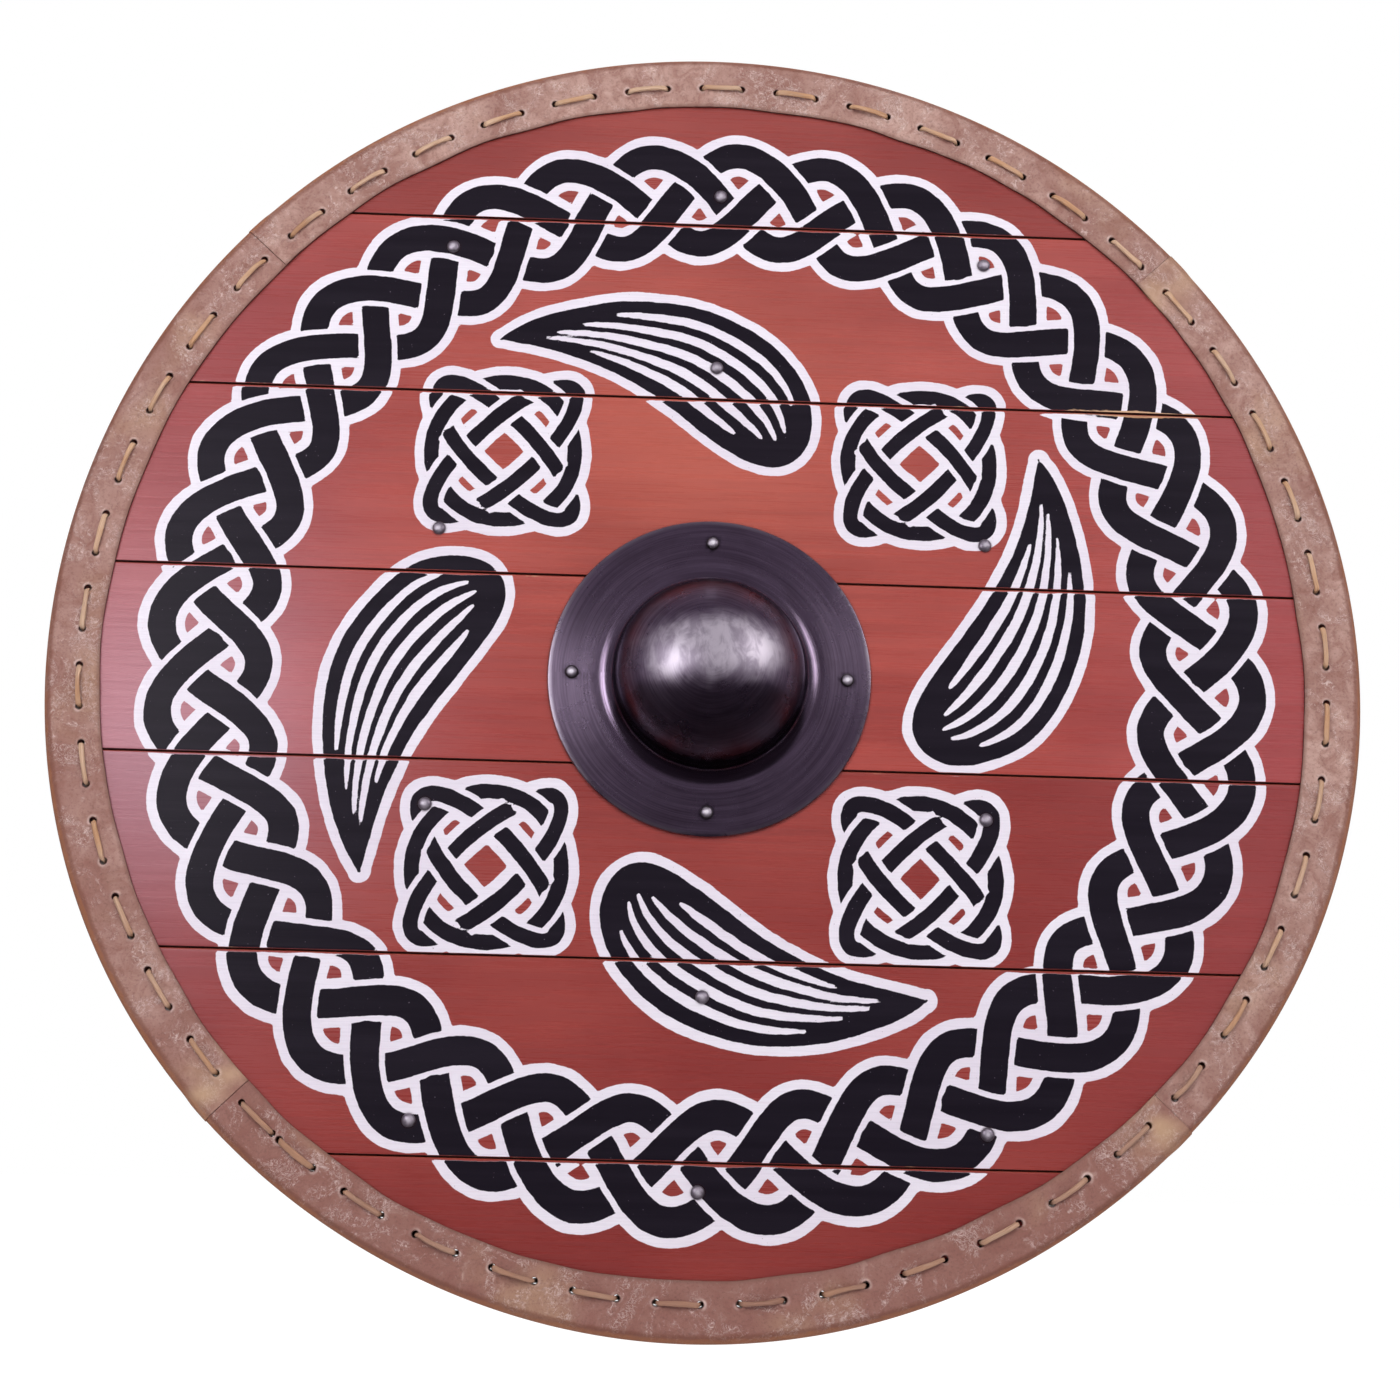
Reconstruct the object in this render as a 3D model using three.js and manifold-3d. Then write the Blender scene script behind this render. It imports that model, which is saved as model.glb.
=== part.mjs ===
// A round wooden shield, about 825 mm across. Seven tongue-and-groove planks are nailed to a long
// grip bar and two battens. A spun steel boss covers the hand hole, and a rawhide edging in four
// strips is held on by one long lace, sewn right round in a running stitch.
// Lengths are in millimetres. The origin is the centre of the hand grip. The painted face looks
// along -Y, +X is on the right of someone who faces it, and +Z is up.

import * as THREE from "three";
import { mergeVertices } from "three/addons/utils/BufferGeometryUtils.js";
import Module from "manifold-3d";

const wasm = await Module();
wasm.setup();

// Fits and facets
const seatGap = 0.3; // between pieces that rest on each other
const holeGap = 0.3; // round a shank or the lace in its hole
const cutOverrun = 5; // how far a cutter passes the faces that it cuts
const chordError = 0.25; // between a flat facet and the true arc, on the board and the edging

// Board
const boardRise = 11; // of the board's centre, above the hand grip
const boardShift = -1; // of the board's centre, to the right of the hand grip
const boardThickness = 9.5;
const plankCount = 7;
const plankPitch = 120;
const boardTrim = 9.8; // cut off the joined planks, top and bottom, where the disc was sawn out
const plankRise = 3; // of the middle plank's centre line, above the hand grip
const seamGap = 0.5;
const seamChamfer = 0.9;
const tongueThickness = 3;
const tongueDepth = 4;
const handHoleWidth = 112;
const handHoleHeightShare = 0.84; // of the plank pitch, so that one plank holds the whole hole
const handHoleSides = 40;

// Rawhide edging
const rawhideThickness = 2.2;
const edgingWidth = 35.6; // from the outside of the fold to the strip's cut edge
const foldSteps = 4;
const scarfLength = 9; // of the slanted joint between two strips
const stripStitches = [13, 12, 13, 12]; // per strip, anticlockwise from the lower left joint

// Lace
const laceStartAngle = THREE.MathUtils.degToRad(230.5); // anticlockwise from the right
const stitchLength = 26;
const stitchInset = 12; // of the line of stitches, from the edging's cut edge
const laceWidth = 3.6;
const laceThickness = 2.2;
const laceTail = 14; // of each end, laid along the back
const laceEndWall = 1.2; // between the two neighbouring holes where the lace starts and ends
const laceHoleShare = 2; // of the lace's thickness, along the line of stitches

// Boss
const flangeRadius = 101;
const bossSheet = 1.8;
const flangeRise = 2; // from the flange's edge to the foot of the dome
const rootWidth = 12; // of the hollow curve at the foot of the dome
const rootHeight = 9;
const domeRadius = 59;
const domeHeight = 58; // above the board
const rivetShare = 0.5; // of the flat part of the flange, from its edge
const bossSides = 32;
const rootSteps = 3;
const domeSteps = 7;

// Nails, rivets and roves
const shankRadius = 1.6;
const headRadius = 4.2;
const headHeight = 2.2;
const headSteps = 3;
const roveRadius = 6.2;
const roveThickness = 1.6;
const roveLip = 0.7; // thickness of the rove at its rim
const peenRadius = 2.7; // of the hammered end over the rove
const peenHeight = 1.3;
const nailSides = 8;

// Grip bar and battens
const gripWidth = 28;
const gripDepth = 20;
const gripEase = 7; // chamfer that rounds the grip for the hand
const gripFlare = 20; // length of each change from the grip to the bar
const gripFlareSteps = 3;
const roveClearance = 5.8; // from the boss's roves to the start of the flare
const barWidth = 36;
const barDepth = 12;
const barEase = 2;
const barEndGap = 12; // from the edging's cut edge to the end of the bar
const battenSpacing = 346; // between the battens' centre lines
const battenWidth = 32;
const battenDepth = 10;
const battenEndGap = 4; // from the outermost seam to the end of the batten
const battenTaper = 18;
const battenTipDepth = 4;

// Places of the nails
const outerBarNailShare = 0.245; // of the outer plank's open height, from its seam
const innerBarNailShare = 0.18; // of the plank pitch, from the seam
const outerBattenNailShare = 0.175; // of the plank pitch, from the seam
const innerBattenNailShare = 0.235; // of the plank pitch, from the seam

const fullTurn = 2 * Math.PI;
const quarterTurn = fullTurn / 4;

// Levels along Y, from the bar's front face towards the painted side and the back
const barFront = -gripDepth / 2;
const barBack = barFront + barDepth;
const battenBack = barFront + battenDepth;
const boardBack = barFront - seatGap;
const boardFront = boardBack - boardThickness;
const edgingFront = boardFront - seatGap - rawhideThickness;
const edgingBack = boardBack + seatGap + rawhideThickness;
const laceFront = edgingFront - seatGap - laceThickness / 2;
const laceBack = edgingBack + seatGap + laceThickness / 2;

// Radii on the board
const boardEdgeRadius = boardThickness / 2; // the board's edge is rounded right over
const boardRadius = (plankCount * plankPitch) / 2 - boardTrim;
const shieldRadius = boardRadius + seatGap + rawhideThickness; // to the outside of the edging
const foldRadius = boardRadius - boardEdgeRadius; // where the edging starts to fold over
const edgingRadius = shieldRadius - edgingWidth; // to the strips' cut edge
const stitchRadius = edgingRadius + stitchInset;
const boardSides = Math.ceil(fullTurn / (2 * Math.acos(1 - chordError / shieldRadius)));

// Stitches, counted anticlockwise from the lace's start
const stitchCount = stripStitches.reduce((sum, count) => sum + count);
const laceHoleLength = laceThickness * laceHoleShare;
const laceHoleWidth = laceWidth + 2 * holeGap;
const stitchAngle = stitchLength / stitchRadius;
const laceEndAngle = (laceHoleLength + laceEndWall) / stitchRadius;
const stitchPitch = (fullTurn - laceEndAngle - stitchAngle) / (stitchCount - 1);

const materials = {
  paintedWood: new THREE.MeshStandardMaterial({ color: 0xa84b41, roughness: 0.5, metalness: 0 }),
  bareWood: new THREE.MeshStandardMaterial({ color: 0xa97e50, roughness: 0.7, metalness: 0 }),
  rawhide: new THREE.MeshStandardMaterial({ color: 0xa07d6e, roughness: 0.75, metalness: 0 }),
  lace: new THREE.MeshStandardMaterial({ color: 0xbea078, roughness: 0.8, metalness: 0 }),
  blackenedSteel: new THREE.MeshStandardMaterial({ color: 0x3c373d, roughness: 0.35, metalness: 1 }),
  nailSteel: new THREE.MeshStandardMaterial({ color: 0x77727a, roughness: 0.4, metalness: 1 }),
};

// Solids

function signedVolume(points, corners) {
  const at = (corner) => new THREE.Vector3().fromArray(points, corner * 3);
  let volume = 0;
  for (let first = 0; first < corners.length; first += 3) {
    const [a, b, c] = [at(corners[first]), at(corners[first + 1]), at(corners[first + 2])];
    volume += a.dot(b.cross(c)) / 6;
  }
  return volume;
}

function toSolid(geometry) {
  const bare = geometry.clone();
  bare.deleteAttribute("normal");
  bare.deleteAttribute("uv");
  const merged = mergeVertices(bare);
  const points = merged.getAttribute("position").array;
  const corners = [];
  for (let first = 0; first < merged.index.count; first += 3) {
    const [a, b, c] = [0, 1, 2].map((step) => merged.index.getX(first + step));
    if (a !== b && b !== c && c !== a) corners.push(a, b, c);
  }
  if (signedVolume(points, corners) < 0) corners.reverse();
  return new wasm.Manifold(new wasm.Mesh({
    numProp: 3,
    vertProperties: Float32Array.from(points),
    triVerts: Uint32Array.from(corners),
  }));
}

function toGeometry(solid) {
  const mesh = solid.getMesh();
  const geometry = new THREE.BufferGeometry();
  geometry.setAttribute("position", new THREE.BufferAttribute(mesh.vertProperties, 3));
  geometry.setIndex(new THREE.BufferAttribute(mesh.triVerts, 1));
  geometry.computeVertexNormals();
  return geometry;
}

function piece(name, solid, material, place = [0, 0, 0]) {
  const mesh = new THREE.Mesh(toGeometry(solid), material);
  mesh.name = name;
  mesh.position.set(...place);
  return mesh;
}

// Joins rings of points, with an even number in each, into one closed skin. The caps run in
// rungs from each point to its opposite one, so that a U-shaped ring closes as well.
function skin(rings) {
  const size = rings[0].length;
  const faces = [];
  const addQuad = (a, b, c, d) => faces.push(a, b, c, a, c, d);
  for (let ring = 0; ring + 1 < rings.length; ring += 1) {
    for (let point = 0; point < size; point += 1) {
      const near = ring * size;
      const far = near + size;
      const next = (point + 1) % size;
      addQuad(near + point, far + point, far + next, near + next);
    }
  }
  const last = (rings.length - 1) * size;
  for (let rung = 0; rung + 1 < size / 2; rung += 1) {
    const opposite = size - 1 - rung;
    addQuad(rung, rung + 1, opposite - 1, opposite);
    addQuad(last + opposite, last + opposite - 1, last + rung + 1, last + rung);
  }
  const geometry = new THREE.BufferGeometry();
  const points = rings.flat().flatMap((point) => point.toArray());
  geometry.setAttribute("position", new THREE.Float32BufferAttribute(points, 3));
  geometry.setIndex(faces);
  return toSolid(geometry);
}

// Turns a profile of [radius, level] pairs about the Y axis.
function revolve(profile, sides) {
  const points = profile.map(([radius, level]) => new THREE.Vector2(radius, level));
  return toSolid(new THREE.LatheGeometry(points, sides));
}

function join(solids) {
  return wasm.Manifold.union(solids);
}

// A round cutter along Y whose flats, not its corners, have the given radius.
function roundCutter(radius, front, back, x, z) {
  const length = back - front + 2 * cutOverrun;
  const cornerRadius = radius / Math.cos(Math.PI / nailSides);
  const cutter = new THREE.CylinderGeometry(cornerRadius, cornerRadius, length, nailSides);
  cutter.translate(x, (front + back) / 2, z);
  return toSolid(cutter);
}

// Points of a quarter of an ellipse, from its side to its top when both half axes are positive.
function quarterEllipse(centreRadius, centreLevel, across, along, steps) {
  return Array.from({ length: steps + 1 }, (_, step) => {
    const turn = (quarterTurn * step) / steps;
    return [centreRadius + across * Math.cos(turn), centreLevel + along * Math.sin(turn)];
  });
}

// Places on the board, from the board's own centre

const gripX = -boardShift;
const gripZ = -boardRise;

function pointAt(angle, radius, level) {
  return new THREE.Vector3(radius * Math.cos(angle), level, radius * Math.sin(angle));
}

// Height of a seam above the hand grip, counted from the top of the shield.
function seamHeight(seam) {
  return plankRise + plankPitch * (plankCount / 2 - seam);
}

function stitchStart(stitch) {
  return laceStartAngle + stitch * stitchPitch;
}

const laceHoleAngles = Array.from({ length: stitchCount }, (_, stitch) => stitchStart(stitch))
  .flatMap((angle) => [angle, angle + stitchAngle]);

function laceHoleCutter(angle) {
  const depth = edgingBack - edgingFront + 2 * cutOverrun;
  const cutter = new THREE.BoxGeometry(laceHoleLength, depth, laceHoleWidth);
  cutter.rotateY(quarterTurn - angle);
  cutter.translate(...pointAt(angle, stitchRadius, (edgingFront + edgingBack) / 2).toArray());
  return toSolid(cutter);
}

const laceHoles = join(laceHoleAngles.map(laceHoleCutter));

// Fasteners. Each has a place, the level under its head and the level that its rove lies on.

const footRadius = domeRadius + rootWidth; // where the flange turns up into the dome
const flangeWidth = flangeRadius - footRadius;

function flangeHeight(radius) {
  return seatGap + bossSheet + (flangeRise * (flangeRadius - radius)) / flangeWidth;
}

const barTop = boardRise + edgingRadius - barEndGap;
const barBottom = boardRise - edgingRadius + barEndGap;
const middleSeam = (plankCount - 1) / 2;

function nailRow(label, x, back, heights) {
  const head = boardFront - seatGap;
  return heights.map((z, index) => ({ name: `${label}_${index + 1}`, x, z, head, back }));
}

const barNails = nailRow("bar", 0, barBack, [
  seamHeight(1) + outerBarNailShare * (boardRise + edgingRadius - seamHeight(1)),
  seamHeight(2) + innerBarNailShare * plankPitch,
  seamHeight(plankCount - 2) - innerBarNailShare * plankPitch,
  seamHeight(plankCount - 1) + outerBarNailShare * (boardRise - edgingRadius - seamHeight(plankCount - 1)),
]);

const battenNailHeights = [
  seamHeight(1) - outerBattenNailShare * plankPitch,
  seamHeight(middleSeam) + innerBattenNailShare * plankPitch,
  seamHeight(middleSeam + 1) - innerBattenNailShare * plankPitch,
  seamHeight(plankCount - 1) + outerBattenNailShare * plankPitch,
];

const leftNails = nailRow("left_batten", -battenSpacing / 2, battenBack, battenNailHeights);
const rightNails = nailRow("right_batten", battenSpacing / 2, battenBack, battenNailHeights);

const rivetRadius = flangeRadius - rivetShare * flangeWidth;
const rivetHead = boardFront - seatGap - flangeHeight(rivetRadius - headRadius);

const bossRivets = [
  { name: "boss_top", x: 0, z: rivetRadius, head: rivetHead, back: barBack },
  { name: "boss_bottom", x: 0, z: -rivetRadius, head: rivetHead, back: barBack },
  { name: "boss_left", x: -rivetRadius, z: 0, head: rivetHead, back: boardBack },
  { name: "boss_right", x: rivetRadius, z: 0, head: rivetHead, back: boardBack },
];

const nails = [...barNails, ...leftNails, ...rightNails];
const fasteners = [...nails, ...bossRivets];

function shankCutter({ x, z, head, back }) {
  return roundCutter(shankRadius + holeGap, head, back, x, z);
}

function shankHoles(list) {
  return join(list.map(shankCutter));
}

// The head, shank and hammered end, with the underside of the head at level 0.
function fastenerSolid({ head, back }) {
  const roveSeat = back + seatGap - head;
  const peenSeat = roveSeat + roveThickness + seatGap;
  const dome = quarterEllipse(0, 0, headRadius, -headHeight, headSteps).reverse();
  return revolve([
    ...dome,
    [shankRadius, 0],
    [shankRadius, peenSeat],
    [peenRadius, peenSeat],
    [shankRadius, peenSeat + peenHeight],
    [0, peenSeat + peenHeight],
  ], nailSides);
}

function roveSolid() {
  const bore = (shankRadius + holeGap) / Math.cos(Math.PI / nailSides);
  return revolve([
    [bore, 0],
    [roveRadius, 0],
    [roveRadius, roveLip],
    [peenRadius, roveThickness],
    [bore, roveThickness],
    [bore, 0],
  ], nailSides);
}

function makeFasteners() {
  const group = new THREE.Group();
  for (const fastener of fasteners) {
    const { name, x, z, head, back } = fastener;
    const kind = bossRivets.includes(fastener) ? "rivet" : "nail";
    group.add(piece(`${kind}_${name}`, fastenerSolid(fastener), materials.nailSteel, [x, head, z]));
    group.add(piece(`rove_${name}`, roveSolid(), materials.nailSteel, [x, back + seatGap, z]));
  }
  return group;
}

// Planks

// A plank's section, as points of [level, height]. The first plank has no groove and the last
// one no tongue, because there the board's rounded edge takes their place.
function plankOutline(plank, low, high) {
  const middle = (boardFront + boardBack) / 2;
  const groove = tongueThickness / 2 + seatGap;
  const tongue = tongueThickness / 2;
  const grooveFloor = high - tongueDepth - seatGap;
  const tongueEdge = low - tongueDepth;
  const grooveLine = [
    [middle - groove, high], [middle - groove, grooveFloor],
    [middle + groove, grooveFloor], [middle + groove, high],
  ];
  const tongueLine = [
    [middle + tongue, low], [middle + tongue, tongueEdge],
    [middle - tongue, tongueEdge], [middle - tongue, low],
  ];
  return [
    [boardFront + seamChamfer, low], [boardFront, low + seamChamfer],
    [boardFront, high - seamChamfer], [boardFront + seamChamfer, high],
    ...(plank > 0 ? grooveLine : []),
    [boardBack - seamChamfer, high], [boardBack, high - seamChamfer],
    [boardBack, low + seamChamfer], [boardBack - seamChamfer, low],
    ...(plank < plankCount - 1 ? tongueLine : []),
  ];
}

function plankBlank(plank) {
  const reach = boardRadius + cutOverrun;
  const low = plank < plankCount - 1 ? seamHeight(plank + 1) + gripZ + seamGap / 2 : -reach;
  const high = plank > 0 ? seamHeight(plank) + gripZ - seamGap / 2 : reach;
  const outline = plankOutline(plank, low, high);
  const shape = new THREE.Shape(outline.map(([level, height]) => new THREE.Vector2(level, height)));
  const blank = new THREE.ExtrudeGeometry(shape, { depth: 2 * reach, bevelEnabled: false });
  const alongPlank = new THREE.Matrix4().makeBasis(
    new THREE.Vector3(0, 1, 0), new THREE.Vector3(0, 0, 1), new THREE.Vector3(1, 0, 0),
  );
  blank.applyMatrix4(alongPlank);
  blank.translate(-reach, 0, 0);
  return toSolid(blank);
}

function boardDisc() {
  const middle = (boardFront + boardBack) / 2;
  const frontEdge = quarterEllipse(foldRadius, middle, boardEdgeRadius, -boardEdgeRadius, foldSteps / 2);
  const backEdge = quarterEllipse(foldRadius, middle, boardEdgeRadius, boardEdgeRadius, foldSteps / 2);
  const profile = [[0, boardFront], ...frontEdge.reverse(), ...backEdge.slice(1), [0, boardBack]];
  return revolve(profile, boardSides);
}

function handHoleCutter() {
  const depth = boardThickness + 2 * cutOverrun;
  const cutter = new THREE.CylinderGeometry(handHoleWidth / 2, handHoleWidth / 2, depth, handHoleSides);
  cutter.scale(1, 1, (handHoleHeightShare * plankPitch) / handHoleWidth);
  cutter.translate(gripX, (boardFront + boardBack) / 2, plankRise + gripZ);
  return toSolid(cutter);
}

function makePlanks() {
  const group = new THREE.Group();
  const disc = boardDisc();
  const nailHoles = shankHoles(fasteners).translate([gripX, 0, gripZ]);
  const holes = join([laceHoles, nailHoles, handHoleCutter()]);
  for (let plank = 0; plank < plankCount; plank += 1) {
    const solid = plankBlank(plank).intersect(disc).subtract(holes);
    group.add(piece(`plank_${plank + 1}`, solid, materials.paintedWood));
  }
  return group;
}

// Edging

function jointAngle(stitch) {
  const wholeTurn = stitch < 0 ? fullTurn : 0;
  const counted = (stitch + stitchCount) % stitchCount;
  return stitchStart(counted) - wholeTurn - (stitchPitch - stitchAngle) / 2;
}

// One side of the U section, as [radius, level] pairs from the front cut edge to the back one.
function edgingLine(offset) {
  const middle = (boardFront + boardBack) / 2;
  const reach = boardEdgeRadius + seatGap + offset;
  const front = quarterEllipse(foldRadius, middle, reach, -reach, foldSteps / 2).reverse();
  const back = quarterEllipse(foldRadius, middle, reach, reach, foldSteps / 2).slice(1);
  return [[edgingRadius, middle - reach], ...front, ...back, [edgingRadius, middle + reach]];
}

function edgingRing(outerAngle, innerAngle) {
  const outside = edgingLine(rawhideThickness).map(([radius, level]) => pointAt(outerAngle, radius, level));
  const inside = edgingLine(0).map(([radius, level]) => pointAt(innerAngle, radius, level));
  return [...outside, ...inside.reverse()];
}

// A strip runs from one joint to the next. Its first end is skived so that it lies under the end
// of the strip before it, and its last end lies over the next strip in the same way.
function edgingStrip(from, to) {
  const slant = Math.hypot(rawhideThickness, scarfLength) / rawhideThickness;
  const half = scarfLength / 2 / stitchRadius;
  const gap = (seatGap * slant) / 2 / stitchRadius;
  const steps = Math.ceil((to - from) / (fullTurn / boardSides));
  const rings = [edgingRing(from + half + gap, from - half + gap)];
  for (let step = 1; step < steps; step += 1) {
    const angle = from + ((to - from) * step) / steps;
    rings.push(edgingRing(angle, angle));
  }
  rings.push(edgingRing(to + half - gap, to - half - gap));
  return skin(rings).subtract(laceHoles);
}

function makeEdging() {
  const group = new THREE.Group();
  const sides = ["bottom", "right", "top", "left"];
  let stitch = -1;
  sides.forEach((side, index) => {
    const nextStitch = stitch + stripStitches[index];
    const strip = edgingStrip(jointAngle(stitch), jointAngle(nextStitch));
    group.add(piece(`edging_${side}`, strip, materials.rawhide));
    stitch = nextStitch;
  });
  return group;
}

// Lace

// Corners of the lace's route, each with the angle that it lies at on the board.
function laceCorners() {
  const corner = (angle, level) => ({ angle, point: pointAt(angle, stitchRadius, level) });
  const tailAngle = laceTail / stitchRadius;
  const route = [corner(laceHoleAngles[0] + tailAngle, laceBack)];
  for (let hole = 0; hole < laceHoleAngles.length; hole += 2) {
    const [up, down] = laceHoleAngles.slice(hole, hole + 2);
    route.push(corner(up, laceBack), corner(up, laceFront), corner(down, laceFront), corner(down, laceBack));
  }
  route.push(corner(laceHoleAngles.at(-1) - tailAngle, laceBack));
  return route;
}

// Cuts each corner off, so that the lace bends over the edge of its hole.
function easedRoute(corners) {
  const bend = laceThickness / 2 + seatGap;
  const towards = (from, to) => {
    const step = to.point.clone().sub(from.point).setLength(bend);
    return { angle: from.angle, point: from.point.clone().add(step) };
  };
  const inner = corners.slice(1, -1).flatMap((corner, index) => [
    towards(corner, corners[index]),
    towards(corner, corners[index + 2]),
  ]);
  return [corners[0], ...inner, corners.at(-1)];
}

function makeLace() {
  const route = easedRoute(laceCorners());
  const rings = route.map(({ angle, point }, index) => {
    const before = route[Math.max(index - 1, 0)].point;
    const after = route[Math.min(index + 1, route.length - 1)].point;
    const along = after.clone().sub(before).normalize();
    const across = pointAt(angle, 1, 0);
    const up = along.cross(across).setLength(laceThickness / 2);
    const side = across.setLength(laceWidth / 2);
    return [
      point.clone().add(side).add(up), point.clone().add(side).sub(up),
      point.clone().sub(side).sub(up), point.clone().sub(side).add(up),
    ];
  });
  return piece("edging_lace", skin(rings), materials.lace);
}

// Boss

// One side of the boss, as [radius, height above the board] pairs from the edge to the crown.
function bossLine(inset) {
  const footHeight = seatGap + bossSheet + flangeRise;
  const wallHeight = footHeight + rootHeight;
  const root = quarterEllipse(footRadius, wallHeight, -rootWidth - inset, -rootHeight - inset, rootSteps);
  const dome = quarterEllipse(0, wallHeight, domeRadius - inset, domeHeight - wallHeight - inset, domeSteps);
  return [[flangeRadius, seatGap + bossSheet - inset], ...root.reverse(), ...dome.slice(1)];
}

function makeBoss() {
  const toLevel = ([radius, height]) => [radius, boardFront - height];
  const profile = [...bossLine(bossSheet).reverse(), ...bossLine(0)].map(toLevel);
  const solid = revolve(profile, bossSides).subtract(shankHoles(bossRivets));
  return piece("boss", solid, materials.blackenedSteel);
}

// Grip bar and battens

// An eight-sided section across Z. Its front face lies against the board.
function barRing(x, z, width, depth, ease) {
  const half = width / 2;
  const back = barFront + depth;
  const at = (across, level) => new THREE.Vector3(x + across, level, z);
  const side = [
    [half - ease, barFront], [half, barFront + ease], [half, back - ease], [half - ease, back],
  ];
  return [
    ...side.map(([across, level]) => at(-across, level)),
    ...side.reverse().map(([across, level]) => at(across, level)),
  ];
}

function makeGripBar() {
  const half = rivetRadius - roveRadius - roveClearance - gripFlare;
  const flare = Array.from({ length: gripFlareSteps + 1 }, (_, step) => {
    const share = THREE.MathUtils.smoothstep(step / gripFlareSteps, 0, 1);
    const blend = (atGrip, atBar) => THREE.MathUtils.lerp(atGrip, atBar, share);
    const z = half + (gripFlare * step) / gripFlareSteps;
    return { z, section: [blend(gripWidth, barWidth), blend(gripDepth, barDepth), blend(gripEase, barEase)] };
  });
  const barSection = [barWidth, barDepth, barEase];
  const stations = [
    { z: barBottom, section: barSection },
    ...flare.map(({ z, section }) => ({ z: -z, section })).reverse(),
    ...flare,
    { z: barTop, section: barSection },
  ];
  const rings = stations.map(({ z, section }) => barRing(0, z, ...section));
  const through = fasteners.filter(({ x }) => x === 0);
  return piece("grip_bar", skin(rings).subtract(shankHoles(through)), materials.bareWood);
}

function makeBatten(name, x, ownNails) {
  const top = seamHeight(1) - battenEndGap;
  const bottom = seamHeight(plankCount - 1) + battenEndGap;
  const stations = [
    [bottom, battenTipDepth], [bottom + battenTaper, battenDepth],
    [top - battenTaper, battenDepth], [top, battenTipDepth],
  ];
  const tipEase = barEase * (battenTipDepth / battenDepth);
  const rings = stations.map(([z, depth]) => {
    const ease = depth === battenDepth ? barEase : tipEase;
    return barRing(x, z, battenWidth, depth, ease);
  });
  return piece(name, skin(rings).subtract(shankHoles(ownNails)), materials.bareWood);
}

// Assembly

const shield = new THREE.Group();
const board = new THREE.Group();
board.position.set(boardShift, 0, boardRise);
board.add(makePlanks(), makeEdging(), makeLace());
shield.add(board);
shield.add(makeBoss());
shield.add(makeGripBar());
shield.add(makeBatten("batten_left", -battenSpacing / 2, leftNails));
shield.add(makeBatten("batten_right", battenSpacing / 2, rightNails));
shield.add(makeFasteners());

export default shield;
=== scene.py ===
# A round wooden shield: seven painted planks, a spun steel boss, a laced rawhide edging, and a
# grip bar and two battens nailed on behind. Lengths are in metres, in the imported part's frame: the
# origin is the centre of the hand grip, the painted face looks along -Y, and +Z is up.

import math

import bmesh
import bpy
import numpy as np
from mathutils import Matrix, Vector


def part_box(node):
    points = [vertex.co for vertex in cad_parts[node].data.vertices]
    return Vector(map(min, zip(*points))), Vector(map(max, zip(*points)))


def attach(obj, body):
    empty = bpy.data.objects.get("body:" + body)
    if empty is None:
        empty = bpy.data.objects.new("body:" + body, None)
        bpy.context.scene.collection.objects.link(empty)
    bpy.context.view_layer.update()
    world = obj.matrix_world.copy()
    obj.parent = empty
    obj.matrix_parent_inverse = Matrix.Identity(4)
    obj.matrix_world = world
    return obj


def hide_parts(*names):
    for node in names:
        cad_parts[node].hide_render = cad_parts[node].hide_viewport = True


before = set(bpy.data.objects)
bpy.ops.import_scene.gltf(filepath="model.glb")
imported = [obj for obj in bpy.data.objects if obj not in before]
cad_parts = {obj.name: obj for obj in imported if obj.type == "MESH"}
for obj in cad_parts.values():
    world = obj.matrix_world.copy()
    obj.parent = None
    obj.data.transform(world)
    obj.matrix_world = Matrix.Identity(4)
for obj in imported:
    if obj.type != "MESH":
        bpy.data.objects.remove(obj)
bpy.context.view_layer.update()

MM = 0.001
TURN = 2 * math.pi
FAR = 30 * MM  # stands for any distance too long to matter
TOLERANCE = 0.01 * MM
CUT_OVERRUN = 5 * MM  # how far cutters and paint run past what they must reach
SHARP_ANGLE = math.radians(40)  # between faces, above which an edge is sharp
RIPPLE_WAVES = 9

# Places and sizes taken from the frame
SIDES = ["bottom", "right", "top", "left"]
PLANK_COUNT = 7
edging_boxes = [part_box(f"edging_{side}") for side in SIDES]
EDGING_LOW = np.min([low for low, _ in edging_boxes], axis=0)
EDGING_HIGH = np.max([high for _, high in edging_boxes], axis=0)
EDGING_FRONT, EDGING_BACK = EDGING_LOW[1], EDGING_HIGH[1]
SHIELD_RADIUS = (EDGING_HIGH[0] - EDGING_LOW[0]) / 2
BOARD_MIDDLE = ((EDGING_LOW + EDGING_HIGH) / 2)[[0, 2]]  # seen from the front, as X and Z
BOARD_FRONT, BOARD_BACK = (corner.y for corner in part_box("plank_4"))
FASTENERS = sorted(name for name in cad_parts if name.startswith(("nail_", "rivet_")))

# Fits, as in the part
SEAT_GAP = 0.3 * MM
SEAM_CHAMFER = 0.9 * MM
TONGUE_THICKNESS = 3 * MM
TONGUE_DEPTH = 4 * MM
HAND_HOLE = (56 * MM, 50.4 * MM)
HAND_HOLE_RISE = 3 * MM
RAWHIDE = 2.2 * MM
EDGING_WIDTH = 35.6 * MM
SCARF_LENGTH = 9 * MM
STRIP_STITCHES = [13, 12, 13, 12]
LACE_START = math.radians(230.5)
STITCH_LENGTH = 26 * MM
STITCH_INSET = 12 * MM
LACE_WIDTH = 3.6 * MM
LACE_THICKNESS = 2.2 * MM
LACE_TAIL = 14 * MM
LACE_HOLE_LENGTH = 4.4 * MM
LACE_END_WALL = 1.2 * MM

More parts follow.
